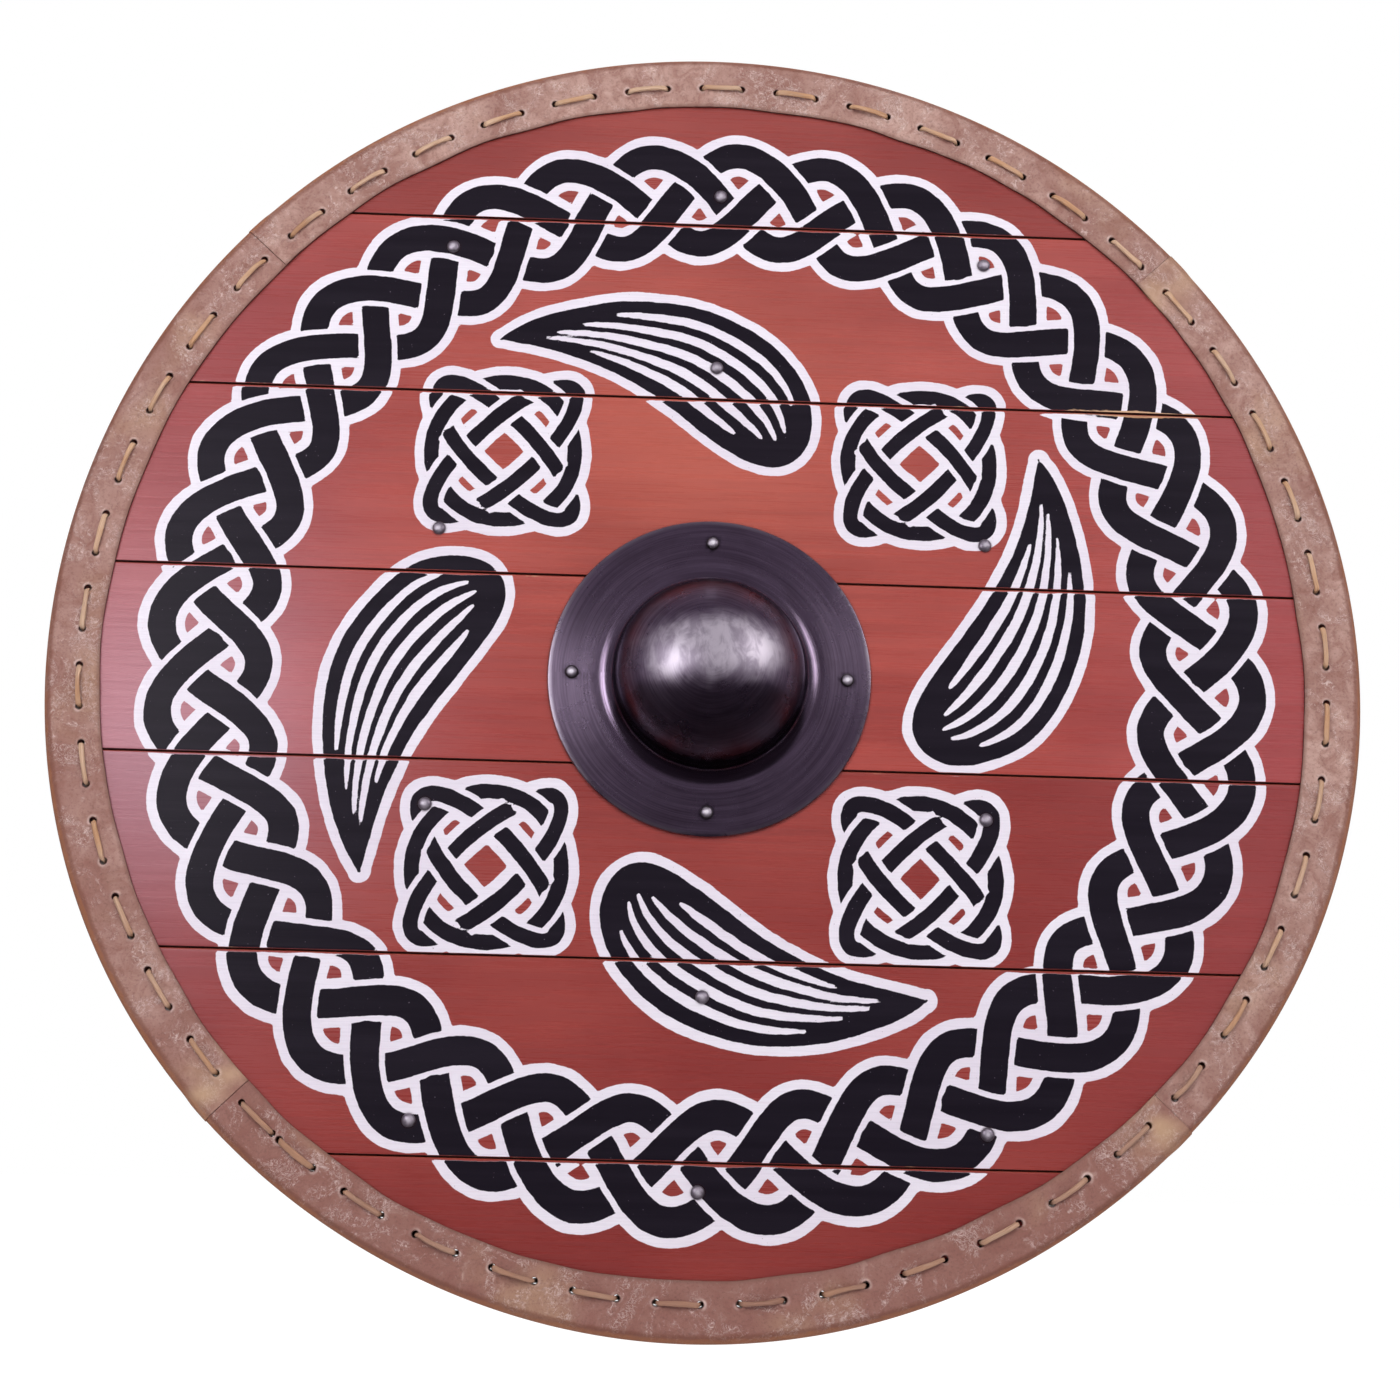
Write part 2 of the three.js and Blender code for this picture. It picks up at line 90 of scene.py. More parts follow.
MIDDLE_LEVEL = (BOARD_FRONT + BOARD_BACK) / 2
EDGE_RADIUS = (BOARD_BACK - BOARD_FRONT) / 2
FOLD_RADIUS = SHIELD_RADIUS - RAWHIDE - SEAT_GAP - EDGE_RADIUS
CUT_RADIUS = SHIELD_RADIUS - EDGING_WIDTH
STITCH_RADIUS = CUT_RADIUS + STITCH_INSET
STITCH_COUNT = sum(STRIP_STITCHES)
STITCH_ANGLE = STITCH_LENGTH / STITCH_RADIUS
LACE_END_ANGLE = (LACE_HOLE_LENGTH + LACE_END_WALL) / STITCH_RADIUS
STITCH_PITCH = (TURN - LACE_END_ANGLE - STITCH_ANGLE) / (STITCH_COUNT - 1)
STITCH_STARTS = LACE_START + STITCH_PITCH * np.arange(STITCH_COUNT)
HOLE_ANGLES = np.stack([STITCH_STARTS, STITCH_STARTS + STITCH_ANGLE], axis=1).ravel()


# Small tools

def smooth(value, low, high):
    share = np.clip((value - low) / (high - low), 0, 1)
    return share * share * (3 - 2 * share)


def bell(value, middle, width):
    return np.exp(-(((value - middle) / width) ** 2))


def unit(vectors):
    return vectors / np.linalg.norm(vectors, axis=1)[:, None]


def gap(points, place=(0, 0)):
    """How far points are from a place, both seen from the front."""
    offset = points - np.asarray(place)
    return np.hypot(offset[..., 0], offset[..., 1])


def gaps(points, places):
    return np.array([gap(points, place) for place in places])


def nearness(points, places, inner, reach):
    """1 within the inner radius of a place, fading to 0 at the reach beyond it."""
    return 1 - smooth(gaps(points, places).min(0), inner, inner + reach)


def polar(radius, angle):
    return np.stack([radius * np.cos(angle), radius * np.sin(angle)], axis=-1)


def ripples(coordinates, wavelength, seed):
    """Soft, even unevenness of about -1 to 1, as a sum of waves in fixed directions."""
    random = np.random.default_rng(seed)
    directions = unit(random.normal(size=(RIPPLE_WAVES, coordinates.shape[-1])))
    lengths = wavelength * random.uniform(0.7, 1.5, RIPPLE_WAVES)
    phases = random.uniform(0, TURN, RIPPLE_WAVES)
    waves = zip(directions, lengths, phases)
    total = sum(np.sin(TURN * coordinates @ way / length + phase) for way, length, phase in waves)
    return total / math.sqrt(RIPPLE_WAVES) / 1.4


def quarter_arc(centre, across, along, steps):
    """From the side of a quarter of an ellipse to its top, as [radius, level] pairs."""
    turn = np.linspace(0, TURN / 4, steps + 1)
    return np.stack([centre[0] + across * np.cos(turn), centre[1] + along * np.sin(turn)], axis=1)


def centre_of(node):
    """The middle of a node's box, seen from the front."""
    low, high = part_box(node)
    return np.array(((low + high) / 2).xz)


def half_width(node):
    low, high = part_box(node)
    return (high.x - low.x) / 2


def grid_faces(rows, columns, wrap_rows, wrap_columns):
    index = np.arange(rows * columns).reshape(rows, columns)
    if wrap_rows:
        index = np.vstack([index, index[:1]])
    if wrap_columns:
        index = np.hstack([index, index[:, :1]])
    corners = [index[:-1, :-1], index[:-1, 1:], index[1:, 1:], index[1:, :-1]]
    return np.stack(corners, axis=-1).reshape(-1, 4).tolist()


def add_object(name, data):
    thing = bpy.data.objects.new(name, data)
    bpy.context.scene.collection.objects.link(thing)
    return thing


def new_mesh(name, points, faces):
    mesh = bpy.data.meshes.new(name)
    mesh.from_pydata(np.asarray(points).tolist(), [], faces)
    work = bmesh.new()
    work.from_mesh(mesh)
    bmesh.ops.recalc_face_normals(work, faces=work.faces)
    work.to_mesh(mesh)
    work.free()
    return mesh


def new_piece(name, points, faces, material):
    mesh = new_mesh(name, points, faces)
    mesh.shade_smooth()
    mesh.set_sharp_from_angle(angle=SHARP_ANGLE)
    mesh.materials.append(material)
    return add_object(name, mesh)


def grid_piece(name, points, material, is_tube=True):
    """A piece from rows x columns of points. A tube's rows wrap round, and caps close its ends."""
    rows, columns = points.shape[:2]
    faces = grid_faces(rows, columns, is_tube, False)
    if is_tube:
        first = [row * columns for row in range(rows)]
        faces += [first, [corner + columns - 1 for corner in first]]
    return new_piece(name, points.reshape(-1, 3), faces, material)


def turned_piece(name, profile, segments, material, place=(0, 0)):
    """A piece turned about an axis along Y. The profile runs from axis to axis or is a ring."""
    profile = np.asarray(profile, float)
    is_ring = np.allclose(profile[0], profile[-1])
    body = profile[:-1] if is_ring else profile[1:-1]
    angles = np.linspace(0, TURN, segments, endpoint=False)
    radius, level = body[:, 0][:, None], body[:, 1][:, None]
    right, up = place[0] + radius * np.cos(angles), place[1] + radius * np.sin(angles)
    points = np.stack([right, level + 0 * angles, up], axis=-1).reshape(-1, 3)
    faces = grid_faces(len(body), segments, is_ring, True)
    if not is_ring:
        tips = [[place[0], end[1], place[1]] for end in (profile[0], profile[-1])]
        points = np.vstack([points, tips])
        last = (len(body) - 1) * segments
        for corner in range(segments):
            following = (corner + 1) % segments
            faces.append([corner, following, len(points) - 2])
            faces.append([last + corner, last + following, len(points) - 1])
    return new_piece(name, points, faces, material)


def corners_of(piece):
    """All corners of a piece, and the same seen from the front."""
    flat = np.empty(len(piece.data.vertices) * 3)
    piece.data.vertices.foreach_get("co", flat)
    corners = flat.reshape(-1, 3)
    return corners, corners[:, [0, 2]]


def move_corners(piece, corners):
    piece.data.vertices.foreach_set("co", corners.ravel())
    piece.data.update()


def set_values(piece, **values):
    for name, value in values.items():
        layer = piece.data.attributes.new(name, "FLOAT", "POINT")
        value = np.broadcast_to(np.asarray(value, np.float32), len(piece.data.vertices))
        layer.data.foreach_set("value", np.ascontiguousarray(value))


def cut_holes(piece, cutter):
    cut = piece.modifiers.new("holes", "BOOLEAN")
    cut.operation = "DIFFERENCE"
    cut.solver = "MANIFOLD"
    cut.object = cutter
    bpy.context.view_layer.update()
    evaluated = piece.evaluated_get(bpy.context.evaluated_depsgraph_get())
    mesh = bpy.data.meshes.new_from_object(evaluated)
    piece.modifiers.clear()
    piece.data = mesh


def prisms(name, places, across, along, turns, sides=16):
    """Round or oval prisms through the whole board, as one mesh to cut with."""
    points, faces = [], []
    for (x, z), turn in zip(places, turns):
        start = len(points)
        for side in range(sides):
            angle = TURN * side / sides
            u, v = across * math.cos(angle), along * math.sin(angle)
            right = x + u * math.cos(turn) - v * math.sin(turn)
            up = z + u * math.sin(turn) + v * math.cos(turn)
            points += [(right, EDGING_FRONT - CUT_OVERRUN, up), (right, EDGING_BACK + CUT_OVERRUN, up)]
        ring = list(range(start, start + 2 * sides, 2))
        faces += [ring, [corner + 1 for corner in reversed(ring)]]
        for side in range(sides):
            a, b = ring[side], ring[(side + 1) % sides]
            faces.append([a, a + 1, b + 1, b])
    return add_object(name, new_mesh(name, points, faces))


def finish_piece(piece, slot, *nodes):
    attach(piece, "root")
    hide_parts(*nodes)


# Camera, at the photograph's place and angle

CAMERA_PLACE = Vector((-42.7, -1344.3, -307.7)) * MM
CAMERA_AHEAD = Vector((0.02732, 0.97603, 0.21592))
CAMERA_UP = Vector((-0.03031, -0.21509, 0.97612))
CAMERA_LENS = 56.02
CAMERA_SENSOR = 36


def make_camera():
    data = bpy.data.cameras.new("camera")
    data.lens = CAMERA_LENS
    data.sensor_width = CAMERA_SENSOR
    data.sensor_fit = "HORIZONTAL"
    camera = add_object("camera", data)
    right = CAMERA_AHEAD.cross(CAMERA_UP).normalized()
    up = right.cross(CAMERA_AHEAD).normalized()
    turn = Matrix((right, up, -CAMERA_AHEAD.normalized())).transposed()
    camera.matrix_world = Matrix.Translation(CAMERA_PLACE) @ turn.to_4x4()
    bpy.context.scene.camera = camera


# Materials

PAINT_RELIEF = 0.12 * MM
PAINT_BLUR = 0.18 * MM  # to each side of a painted edge
PAINT_WOBBLE = 0.7 * MM
TIMBER_RELIEF = 0.2 * MM
RAWHIDE_RELIEF = 0.4 * MM
LACE_RELIEF = 0.4 * MM
BOSS_RELIEF = 0.05 * MM
NAIL_RELIEF = 0.15 * MM


def srgb(red, green, blue):
    """A colour as it shows on a screen, from 0 to 255, as the shader's linear colour."""
    def linear(value):
        value /= 255
        return value / 12.92 if value <= 0.04045 else ((value + 0.055) / 1.055) ** 2.4
    return (linear(red), linear(green), linear(blue), 1)


class Finish:
    """The nodes of a material or world, and short calls for the kinds that this script uses."""

    def __init__(self, name, kind="materials"):
        self.owner = getattr(bpy.data, kind).new(name)
        self.owner.use_nodes = True
        self.tree = self.owner.node_tree

    def feed(self, socket, value):
        """Links a socket or sets it. A colour is given as it shows on a screen."""
        if isinstance(value, bpy.types.NodeSocket):
            self.tree.links.new(value, socket)
        elif socket.type == "RGBA":
            socket.default_value = srgb(*value)
        else:
            socket.default_value = value

    def node(self, kind, inputs, output=0, **settings):
        node = self.tree.nodes.new("ShaderNode" + kind)
        for name, value in settings.items():
            setattr(node, name, value)
        for name, value in inputs.items():
            self.feed(node.inputs[name], value)
        return node.outputs[output]

    def place(self):
        return self.node("TexCoord", {}, "Object")

    def value(self, name):
        return self.node("Attribute", {}, "Fac", attribute_name=name)

    def math(self, operation, first, second=0.0):
        return self.node("Math", {0: first, 1: second}, operation=operation)

    def plus(self, first, second):
        return self.math("ADD", first, second)

    def times(self, first, second):
        return self.math("MULTIPLY", first, second)

    def total(self, *parts):
        """The sum of values, each with its share."""
        total = 0.0
        for value, share in parts:
            total = self.node("Math", {0: value, 1: share, 2: total}, operation="MULTIPLY_ADD")
        return total

    def swing(self, noise, size):
        """Noise moved to lie round zero, and scaled."""
        return self.times(self.math("SUBTRACT", noise, 0.5), size)

    def vector(self, operation, first, second):
        return self.node("VectorMath", {0: first, 1: second}, operation=operation)

    def noise(self, place, scales, detail=3.0, roughness=0.55, distortion=0.0):
        """Noise with so many features per metre, in all directions or along X, Y and Z."""
        if not isinstance(scales, tuple):
            scales = (scales, scales, scales)
        inputs = {
            "Vector": self.vector("MULTIPLY", place, scales), "Scale": 1.0, "Detail": detail,
            "Roughness": roughness, "Distortion": distortion,
        }
        return self.node("TexNoise", inputs)

    def span(self, value, low, high, start=0.0, end=1.0):
        inputs = {0: value, 1: low, 2: high, 3: start, 4: end}
        return self.node("MapRange", inputs, interpolation_type="SMOOTHSTEP")

    def mix(self, share, first, second):
        return self.node("Mix", {0: share, 6: first, 7: second}, 2, data_type="RGBA")

    def coats(self, colour, *layers):
        """Lays further colours over one, each with its share."""
        for share, layer in layers:
            colour = self.mix(share, colour, layer)
        return colour

    def lerp(self, share, first, second):
        return self.node("Mix", {0: share, 2: first, 3: second}, 0, data_type="FLOAT")

    def bump(self, height, distance):
        return self.node("Bump", {"Height": height, "Distance": distance})

    def set(self, shader="Principled BSDF", **inputs):
        """Feeds the inputs of one of the nodes that every material or world starts with."""
        for name, value in inputs.items():
            self.feed(self.tree.nodes[shader].inputs[name.replace("_", " ")], value)
        return self.owner


def bare_wood_layers(finish, place, light, dark):
    """Colour and height of oiled softwood whose grain runs along X."""
    sway = finish.noise(place, (2, 3, 6), 2.0)
    swayed = finish.vector("ADD", place, finish.node("CombineXYZ", {2: finish.times(sway, 0.03)}))
    rings = finish.noise(swayed, (0.7, 12, 42), 2.0, 0.4)
    lines = finish.math("PINGPONG", finish.times(rings, 11.0), 0.5)
    cloud = finish.noise(place, (6, 20, 30))
    fibre = finish.noise(place, (14, 300, 900), 4.0, 0.65)
    shade = finish.times(finish.span(lines, 0.05, 0.5), finish.span(cloud, 0.3, 0.65, 0.25, 0.7))
    colour = finish.coats(light, (shade, dark), (finish.span(fibre, 0.35, 0.7, 0, 0.45), dark))
    return colour, finish.total((fibre, 1), (shade, -0.3))


def make_painted_wood():
    finish = Finish("painted_wood")
    board, front = finish.value("board"), finish.value("front")
    offset = finish.node("CombineXYZ", {0: finish.times(board, 1.7), 2: finish.times(board, 0.9)})
    place = finish.vector("ADD", finish.place(), offset)
    cloud = finish.noise(place, (5, 5, 9))
    streak = finish.noise(place, (3, 20, 90), 4.0, 0.6)
    grain = finish.noise(place, (14, 100, 520), 4.0, 0.62)
    speck = finish.noise(place, 700, 1.0)

    red = finish.coats(
        finish.mix(finish.span(cloud, 0.3, 0.7), (156, 62, 55), (182, 82, 71)),
        # painted sheen: pinker towards both ends of the planks
        (finish.value("pink"), (162, 78, 84)),
        (finish.span(streak, 0.35, 0.75, 0, 0.22), (140, 52, 48)),
        (finish.span(grain, 0.45, 0.8, 0, 0.22), (122, 42, 40)),
        (finish.value("tone"), (116, 38, 36)),
        (finish.value("bright"), (204, 108, 80)),
        (finish.times(finish.value("stain"), finish.span(streak, 0.4, 0.65, 0, 0.16)), (112, 36, 34)),
        # painted sheen: a lilac lightening on the left planks
        (finish.value("bloom"), (204, 168, 184)),
    )
    white = finish.coats(
        finish.mix(finish.span(cloud, 0.35, 0.7), (237, 234, 240), (228, 222, 231)),
        (finish.span(grain, 0.5, 0.8, 0, 0.22), (196, 168, 176)),
        (finish.span(speck, 0.74, 0.8, 0, 0.5), (130, 110, 112)),
    )
    black = finish.coats(
        finish.mix(finish.span(streak, 0.3, 0.8), (22, 17, 27), (31, 26, 36)),
        (finish.span(speck, 0.76, 0.8, 0, 0.55), (150, 140, 156)),
    )
    wobble = finish.swing(finish.noise(place, 300, 2.0), PAINT_WOBBLE)
    white_share, black_share = (
        finish.span(finish.plus(finish.value(name), wobble), -PAINT_BLUR, PAINT_BLUR, 1, 0)
        for name in ("white", "black")
    )
    rub = finish.plus(finish.noise(place, (30, 100, 160), 4.0, 0.65), finish.value("wear"))
    rubbed = finish.mix(finish.span(grain, 0.3, 0.7), (216, 186, 150), (180, 130, 92))
    # grime with painted shade: darker round the nail heads and along the boss's edge
    grime = finish.total((finish.value("grime"), 1), (cloud, 0.3))
    paint = finish.coats(
        red,
        (white_share, white),
        (black_share, black),
        (finish.span(rub, 0.78, 0.86), rubbed),
        (finish.span(finish.value("seam"), 0.1, 0.9), (150, 62, 46)),
        (finish.span(grime, 0.35, 1.1, 0, 0.75), (58, 30, 30)),
    )
    bare, bare_height = bare_wood_layers(finish, place, (192, 154, 108), (148, 106, 66))
    # dark seams, and each plank's lower chamfer also darkened as painted shade
    deep = finish.span(finish.value("deep"), 0.2, 1)
    colour = finish.coats(bare, (front, paint), (deep, (34, 16, 14)))

    paint_height = finish.total((grain, 0.9), (white_share, 0.35), (black_share, 0.21), (streak, 0.8))
    warp = finish.noise(place, (4, 4, 14), 2.0)
    height = finish.total((finish.lerp(front, bare_height, paint_height), 1), (warp, 12))
    gloss = finish.lerp(black_share, finish.span(grain, 0.35, 0.7, 0.24, 0.38), 0.34)
    return finish.set(
        Base_Color=colour,
        Roughness=finish.lerp(front, 0.6, gloss),
        Specular_IOR_Level=finish.lerp(black_share, 0.5, 0.22),
        Normal=finish.bump(height, PAINT_RELIEF),
    )


def make_bare_wood():
    """For the bar and battens, whose grain runs along Z."""
    finish = Finish("bare_wood")
    place = finish.place()
    turned = finish.node("VectorRotate", {"Vector": place, "Angle": TURN / 4}, rotation_type="Y_AXIS")
    wood, wood_height = bare_wood_layers(finish, turned, (198, 160, 114), (152, 108, 68))
    cloud = finish.noise(place, (20, 20, 8))
    handled = finish.times(finish.value("handled"), finish.span(cloud, 0.25, 0.6, 0.5, 1))
    height = finish.total((wood_height, 1), (finish.noise(place, (120, 120, 60)), 1.2))
    return finish.set(
        Base_Color=finish.mix(handled, wood, (112, 70, 42)),
        Roughness=finish.lerp(handled, 0.62, 0.4),
        Normal=finish.bump(height, TIMBER_RELIEF),
    )


def make_rawhide():
    finish = Finish("rawhide")
    place = finish.place()
    cloud = finish.noise(place, 16, 4.0, 0.6, 0.6)
    mottle = finish.noise(place, 75, 6.0, 0.66, 1.0)
    pores = finish.noise(place, 600, 4.0, 0.7)
    scuffs = finish.noise(place, 210, 5.0, 0.75, 2.0)
    golden = finish.noise(finish.vector("ADD", place, (3.1, 0, 1.7)), 11)
    patches = finish.noise(finish.vector("ADD", place, (0.7, 0.3, 2.2)), 30, 4.0, 0.7, 1.2)
    veins = finish.noise(finish.vector("ADD", place, (1.3, 0.2, 4.1)), 130, 5.0, 0.72, 1.6)

    cracks = finish.math("ABSOLUTE", finish.swing(veins, 1.0))
    crazed = finish.times(finish.span(cracks, 0, 0.03, 0.65, 0), finish.span(patches, 0.48, 0.6))
    scuffed = finish.times(finish.span(scuffs, 0.52, 0.66, 0, 0.8), finish.span(patches, 0.46, 0.58))
    pale = finish.math("MAXIMUM", crazed, scuffed)
    rim = finish.plus(finish.value("fold"), finish.swing(mottle, 0.5))
    colour = finish.coats(
        finish.mix(finish.span(cloud, 0.32, 0.68), (158, 117, 103), (194, 160, 145)),
        # darker strips, the bottom one most, partly their own tone and partly painted shade
        (finish.value("tone"), (148, 101, 88)),
        (finish.span(mottle, 0.4, 0.7, 0, 0.7), (142, 95, 82)),
        (finish.span(mottle, 0.2, 0.42, 0.6, 0), (206, 178, 164)),
        (finish.span(golden, 0.55, 0.72, 0, 0.5), (190, 156, 122)),
        (finish.span(pores, 0.48, 0.68, 0, 0.5), (122, 82, 72)),
        (pale, (224, 202, 192)),
        # painted shade darkens the fold; its outer edge turns orange, partly the hide's own colour and
        # partly painted shade
        (finish.span(rim, 0.25, 0.6, 0, 0.6), (128, 76, 56)),
        (finish.span(rim, 0.7, 1, 0, 0.6), (178, 116, 74)),
        (finish.times(finish.value("lip"), finish.span(mottle, 0.25, 0.6, 1, 0.4)), (226, 204, 192)),
        (finish.value("cut"), (122, 84, 70)),
        # painted shade inside the lace holes and on the strip's inner face
        (finish.value("hole"), (26, 18, 16)),
        (finish.value("golden"), (200, 166, 130)),
    )
    height = finish.total((mottle, 1.6), (pores, 0.6), (pale, 0.3))
    return finish.set(
        Base_Color=colour,
        Roughness=finish.span(mottle, 0.3, 0.7, 0.55, 0.74),
        Normal=finish.bump(height, RAWHIDE_RELIEF),
    )


def make_lace_finish():
    finish = Finish("lace")
    along = finish.node("CombineXYZ", {0: finish.value("along"), 1: finish.value("around")})
    fibre = finish.noise(along, (90, 2.2, 1), 4.0, 0.65)
    strands = finish.noise(along, (25, 5, 1), 3.0, 0.6)
    cloud = finish.noise(finish.place(), 30)
    colour = finish.coats(
        finish.mix(finish.span(cloud, 0.35, 0.65), (204, 158, 116), (216, 184, 152)),
        (finish.span(strands, 0.45, 0.75, 0, 0.7), (146, 96, 60)),
        (finish.span(fibre, 0.55, 0.75, 0, 0.6), (232, 212, 190)),
        (finish.value("dull"), (160, 118, 98)),
    )
    height = finish.total((strands, 1), (fibre, 0.4))
    return finish.set(Base_Color=colour, Roughness=0.62, Normal=finish.bump(height, LACE_RELIEF))


def make_boss_steel():
    """Blackened steel, spun, so that its fine marks run in rings round the Y axis."""
    finish = Finish("boss_steel")
    place = finish.place()
    axes = finish.node("SeparateXYZ", {0: place}).node.outputs
    right, up = axes[0], axes[2]
    radius = finish.math("SQRT", finish.plus(finish.times(right, right), finish.times(up, up)))
    rings = finish.node("CombineXYZ", {0: radius, 1: finish.math("ARCTAN2", up, right)})
    marks = finish.noise(rings, (900, 1, 1), 4.0, 0.7)
    bands = finish.noise(rings, (160, 1, 1), 2.0, 0.5)
    cloud = finish.noise(place, 35, 4.0, 0.6)
    smudge = finish.noise(place, (110, 110, 60), 4.0, 0.6, 0.5)
    hollow = finish.value("hollow")

    # painted highlight: the crown painted lighter and less metallic, in place of a broad reflection
    crown = finish.plus(finish.value("crown"), finish.swing(cloud, 0.9))
    rubbed = finish.span(finish.plus(crown, finish.swing(marks, 0.25)), 0.15, 0.8)
    colour = finish.coats(
        finish.mix(finish.span(marks, 0.3, 0.7), (126, 111, 130), (162, 147, 168)),
        (finish.span(bands, 0.4, 0.7, 0, 0.45), (102, 88, 106)),
        (finish.span(cloud, 0.45, 0.75, 0, 0.35), (104, 90, 102)),
        (finish.times(finish.value("worn"), finish.span(cloud, 0.3, 0.6)), (196, 188, 198)),
        (rubbed, finish.mix(finish.span(smudge, 0.4, 0.65), (224, 217, 226), (176, 166, 180))),
        # painted shade: a dark ring over the dome's steep wall
        (finish.times(finish.value("wall"), 0.78), (50, 45, 57)),
        # grime with painted shade: nearly black round the rivet heads
        (finish.value("grime"), (22, 17, 22)),
    )
    gloss = finish.lerp(rubbed, finish.span(cloud, 0.3, 0.7, 0.25, 0.32), 0.38)
    return finish.set(
        Base_Color=colour,
        Metallic=finish.lerp(rubbed, 1, 0.74),
        Roughness=finish.lerp(hollow, gloss, 0.2),
        Anisotropic=finish.total((finish.lerp(rubbed, 0.7, 0.3), 1), (hollow, -0.6)),
        Anisotropic_Rotation=0.25,
        Tangent=finish.node("Tangent", {}, direction_type="RADIAL", axis="Y"),
        Normal=finish.bump(finish.total((marks, 1), (bands, 0.6)), BOSS_RELIEF),
    )


def make_nail_steel():
    finish = Finish("nail_steel")
    cloud = finish.noise(finish.place(), 260, 4.0, 0.65)
    colour = finish.coats(
        finish.mix(finish.span(cloud, 0.3, 0.7), (150, 141, 154), (198, 190, 200)),
        # painted highlight: a pale centre on each head
        (finish.value("polish"), (240, 237, 242)),
        # grime with painted shade on each head's outer skirt
        (finish.value("grime"), (40, 30, 32)),
    )
    return finish.set(
        Base_Color=colour,
        # less metallic where the highlight is painted
        Metallic=finish.lerp(finish.value("polish"), 0.7, 0.2),
        Roughness=finish.span(cloud, 0.3, 0.7, 0.28, 0.42),
        Normal=finish.bump(cloud, NAIL_RELIEF),
    )


# Painted pattern: a plaited border, four knots and a whirl of four curved arms

SAMPLE_STEP = 1.5 * MM  # between the points that stand for a painted line
PARALLEL = 1e-12  # cross product of two steps that run side by side, in square metres
BRUSH_SWAY = 0.88 * MM  # of the painter's hand
BRUSH_SWAY_LENGTH = 70 * MM
BRUSH_QUIVER = 0.22 * MM
BRUSH_QUIVER_LENGTH = 14 * MM
BOARD_SLIP = 0.7 * MM  # of the pattern from plank to plank
OUTLINE = 6 * MM
PATTERN_MARGIN = 10 * MM  # round each figure, within which its distances are worked out
PLAIT_RADIUS = 311 * MM
PLAIT_SWING = 31 * MM  # of each strand to either side
PLAIT_WAVES = 12
PLAIT_STRANDS = 3
PLAIT_HALF = 8.8 * MM
WEAVE_GAP = 3.6 * MM  # of the white line beside a strand that passes over
OVER_REACH_SHARE = 2.3  # of a strand's half width, to each side of a crossing
KNOT_COUNT = 4
KNOT_PLACE = 188 * MM  # from the board's centre to each knot's centre
KNOT_RING = 46 * MM
KNOT_LONG = 60 * MM
KNOT_SHORT = 20 * MM
KNOT_HALF = 4.8 * MM
ARM_COUNT = 4
ARM_STEPS = 160
ARM_INNER = 146 * MM
ARM_OUTER = 251 * MM
ARM_HALF = 37 * MM
ARM_TIP = 1 * MM
ARM_TURN = math.radians(50)
ARM_START_SHARE = 0.33
ARM_SLIT = 3.1 * MM
ARM_SLIT_END = 0.8 * MM
ARM_SLIT_SHARES = [  # across the arm, and where each slit starts and ends along it
    (-0.66, 0.16, 0.74), (-0.33, 0.08, 0.82), (0.0, 0.06, 0.88), (0.33, 0.1, 0.9), (0.64, 0.2, 0.8),
]


def turns(length):
    """Even angles round a closed line of about that length."""
    return np.linspace(0, TURN, int(length / SAMPLE_STEP), endpoint=False)


def distance_to(points, samples, chunk=4096):
    """From each point to the nearest of the samples."""
    nearest = np.empty(len(points))
    for start in range(0, len(points), chunk):
        part = points[start:start + chunk]
        squares = (part ** 2).sum(1)[:, None] + (samples ** 2).sum(1) - 2 * part @ samples.T
        nearest[start:start + chunk] = np.sqrt(np.maximum(squares.min(1), 0))
    return nearest


def cross(first, second):
    return first[..., 0] * second[..., 1] - first[..., 1] * second[..., 0]


def crossings(one, other):
    """Positions along two closed lines of points where they cross."""
    step, other_step = np.roll(one, -1, 0) - one, np.roll(other, -1, 0) - other
    between = other[None] - one[:, None]
    turn = cross(step[:, None], other_step[None])
    turn[np.abs(turn) < PARALLEL] = np.nan
    share = cross(between, other_step[None]) / turn
    other_share = cross(between, step[:, None]) / turn
    meets = (share >= 0) & (share < 1) & (other_share >= 0) & (other_share < 1)
    here, there = np.nonzero(meets)
    return list(zip(here + share[here, there], there + other_share[here, there]))


def find_passes(strands):
    """For each strand, the places where it meets another, with the other's number."""
    meetings = [
        (a, b, x, y)
        for a in range(len(strands)) for b in range(a + 1, len(strands))
        for x, y in crossings(strands[a], strands[b])
    ]
    passes = [[] for _ in strands]
    for number, (a, b, x, y) in enumerate(meetings):
        passes[a].append((x, number, b))
        passes[b].append((y, number, a))
    return [sorted(places) for places in passes]


def weave(strands, reach):
    """Says for each point of each strand whether it passes over, within reach of a crossing."""
    passes = find_passes(strands)
    top = {}
    waiting = list(range(len(strands)))
    over = [None] * len(strands)
    while waiting:
        strand = next((k for k in waiting if any(n in top for _, n, _ in passes[k])), waiting[0])
        waiting.remove(strand)
        known = next((i for i, (_, n, _) in enumerate(passes[strand]) if n in top), None)
        first = known is None or (top[passes[strand][known][1]] == strand) == (known % 2 == 0)
        states = [first == (i % 2 == 0) for i in range(len(passes[strand]))]
        for state, (_, number, other) in zip(states, passes[strand]):
            top.setdefault(number, strand if state else other)
        line = strands[strand]
        places = np.array([place for place, _, _ in passes[strand]])
        steps = np.abs(np.arange(len(line))[:, None] - places)
        nearest = np.minimum(steps, len(line) - steps).argmin(1)
        near = gap(line, line[places.astype(int)[nearest]]) < reach
        over[strand] = np.array(states)[nearest] & near
    return over


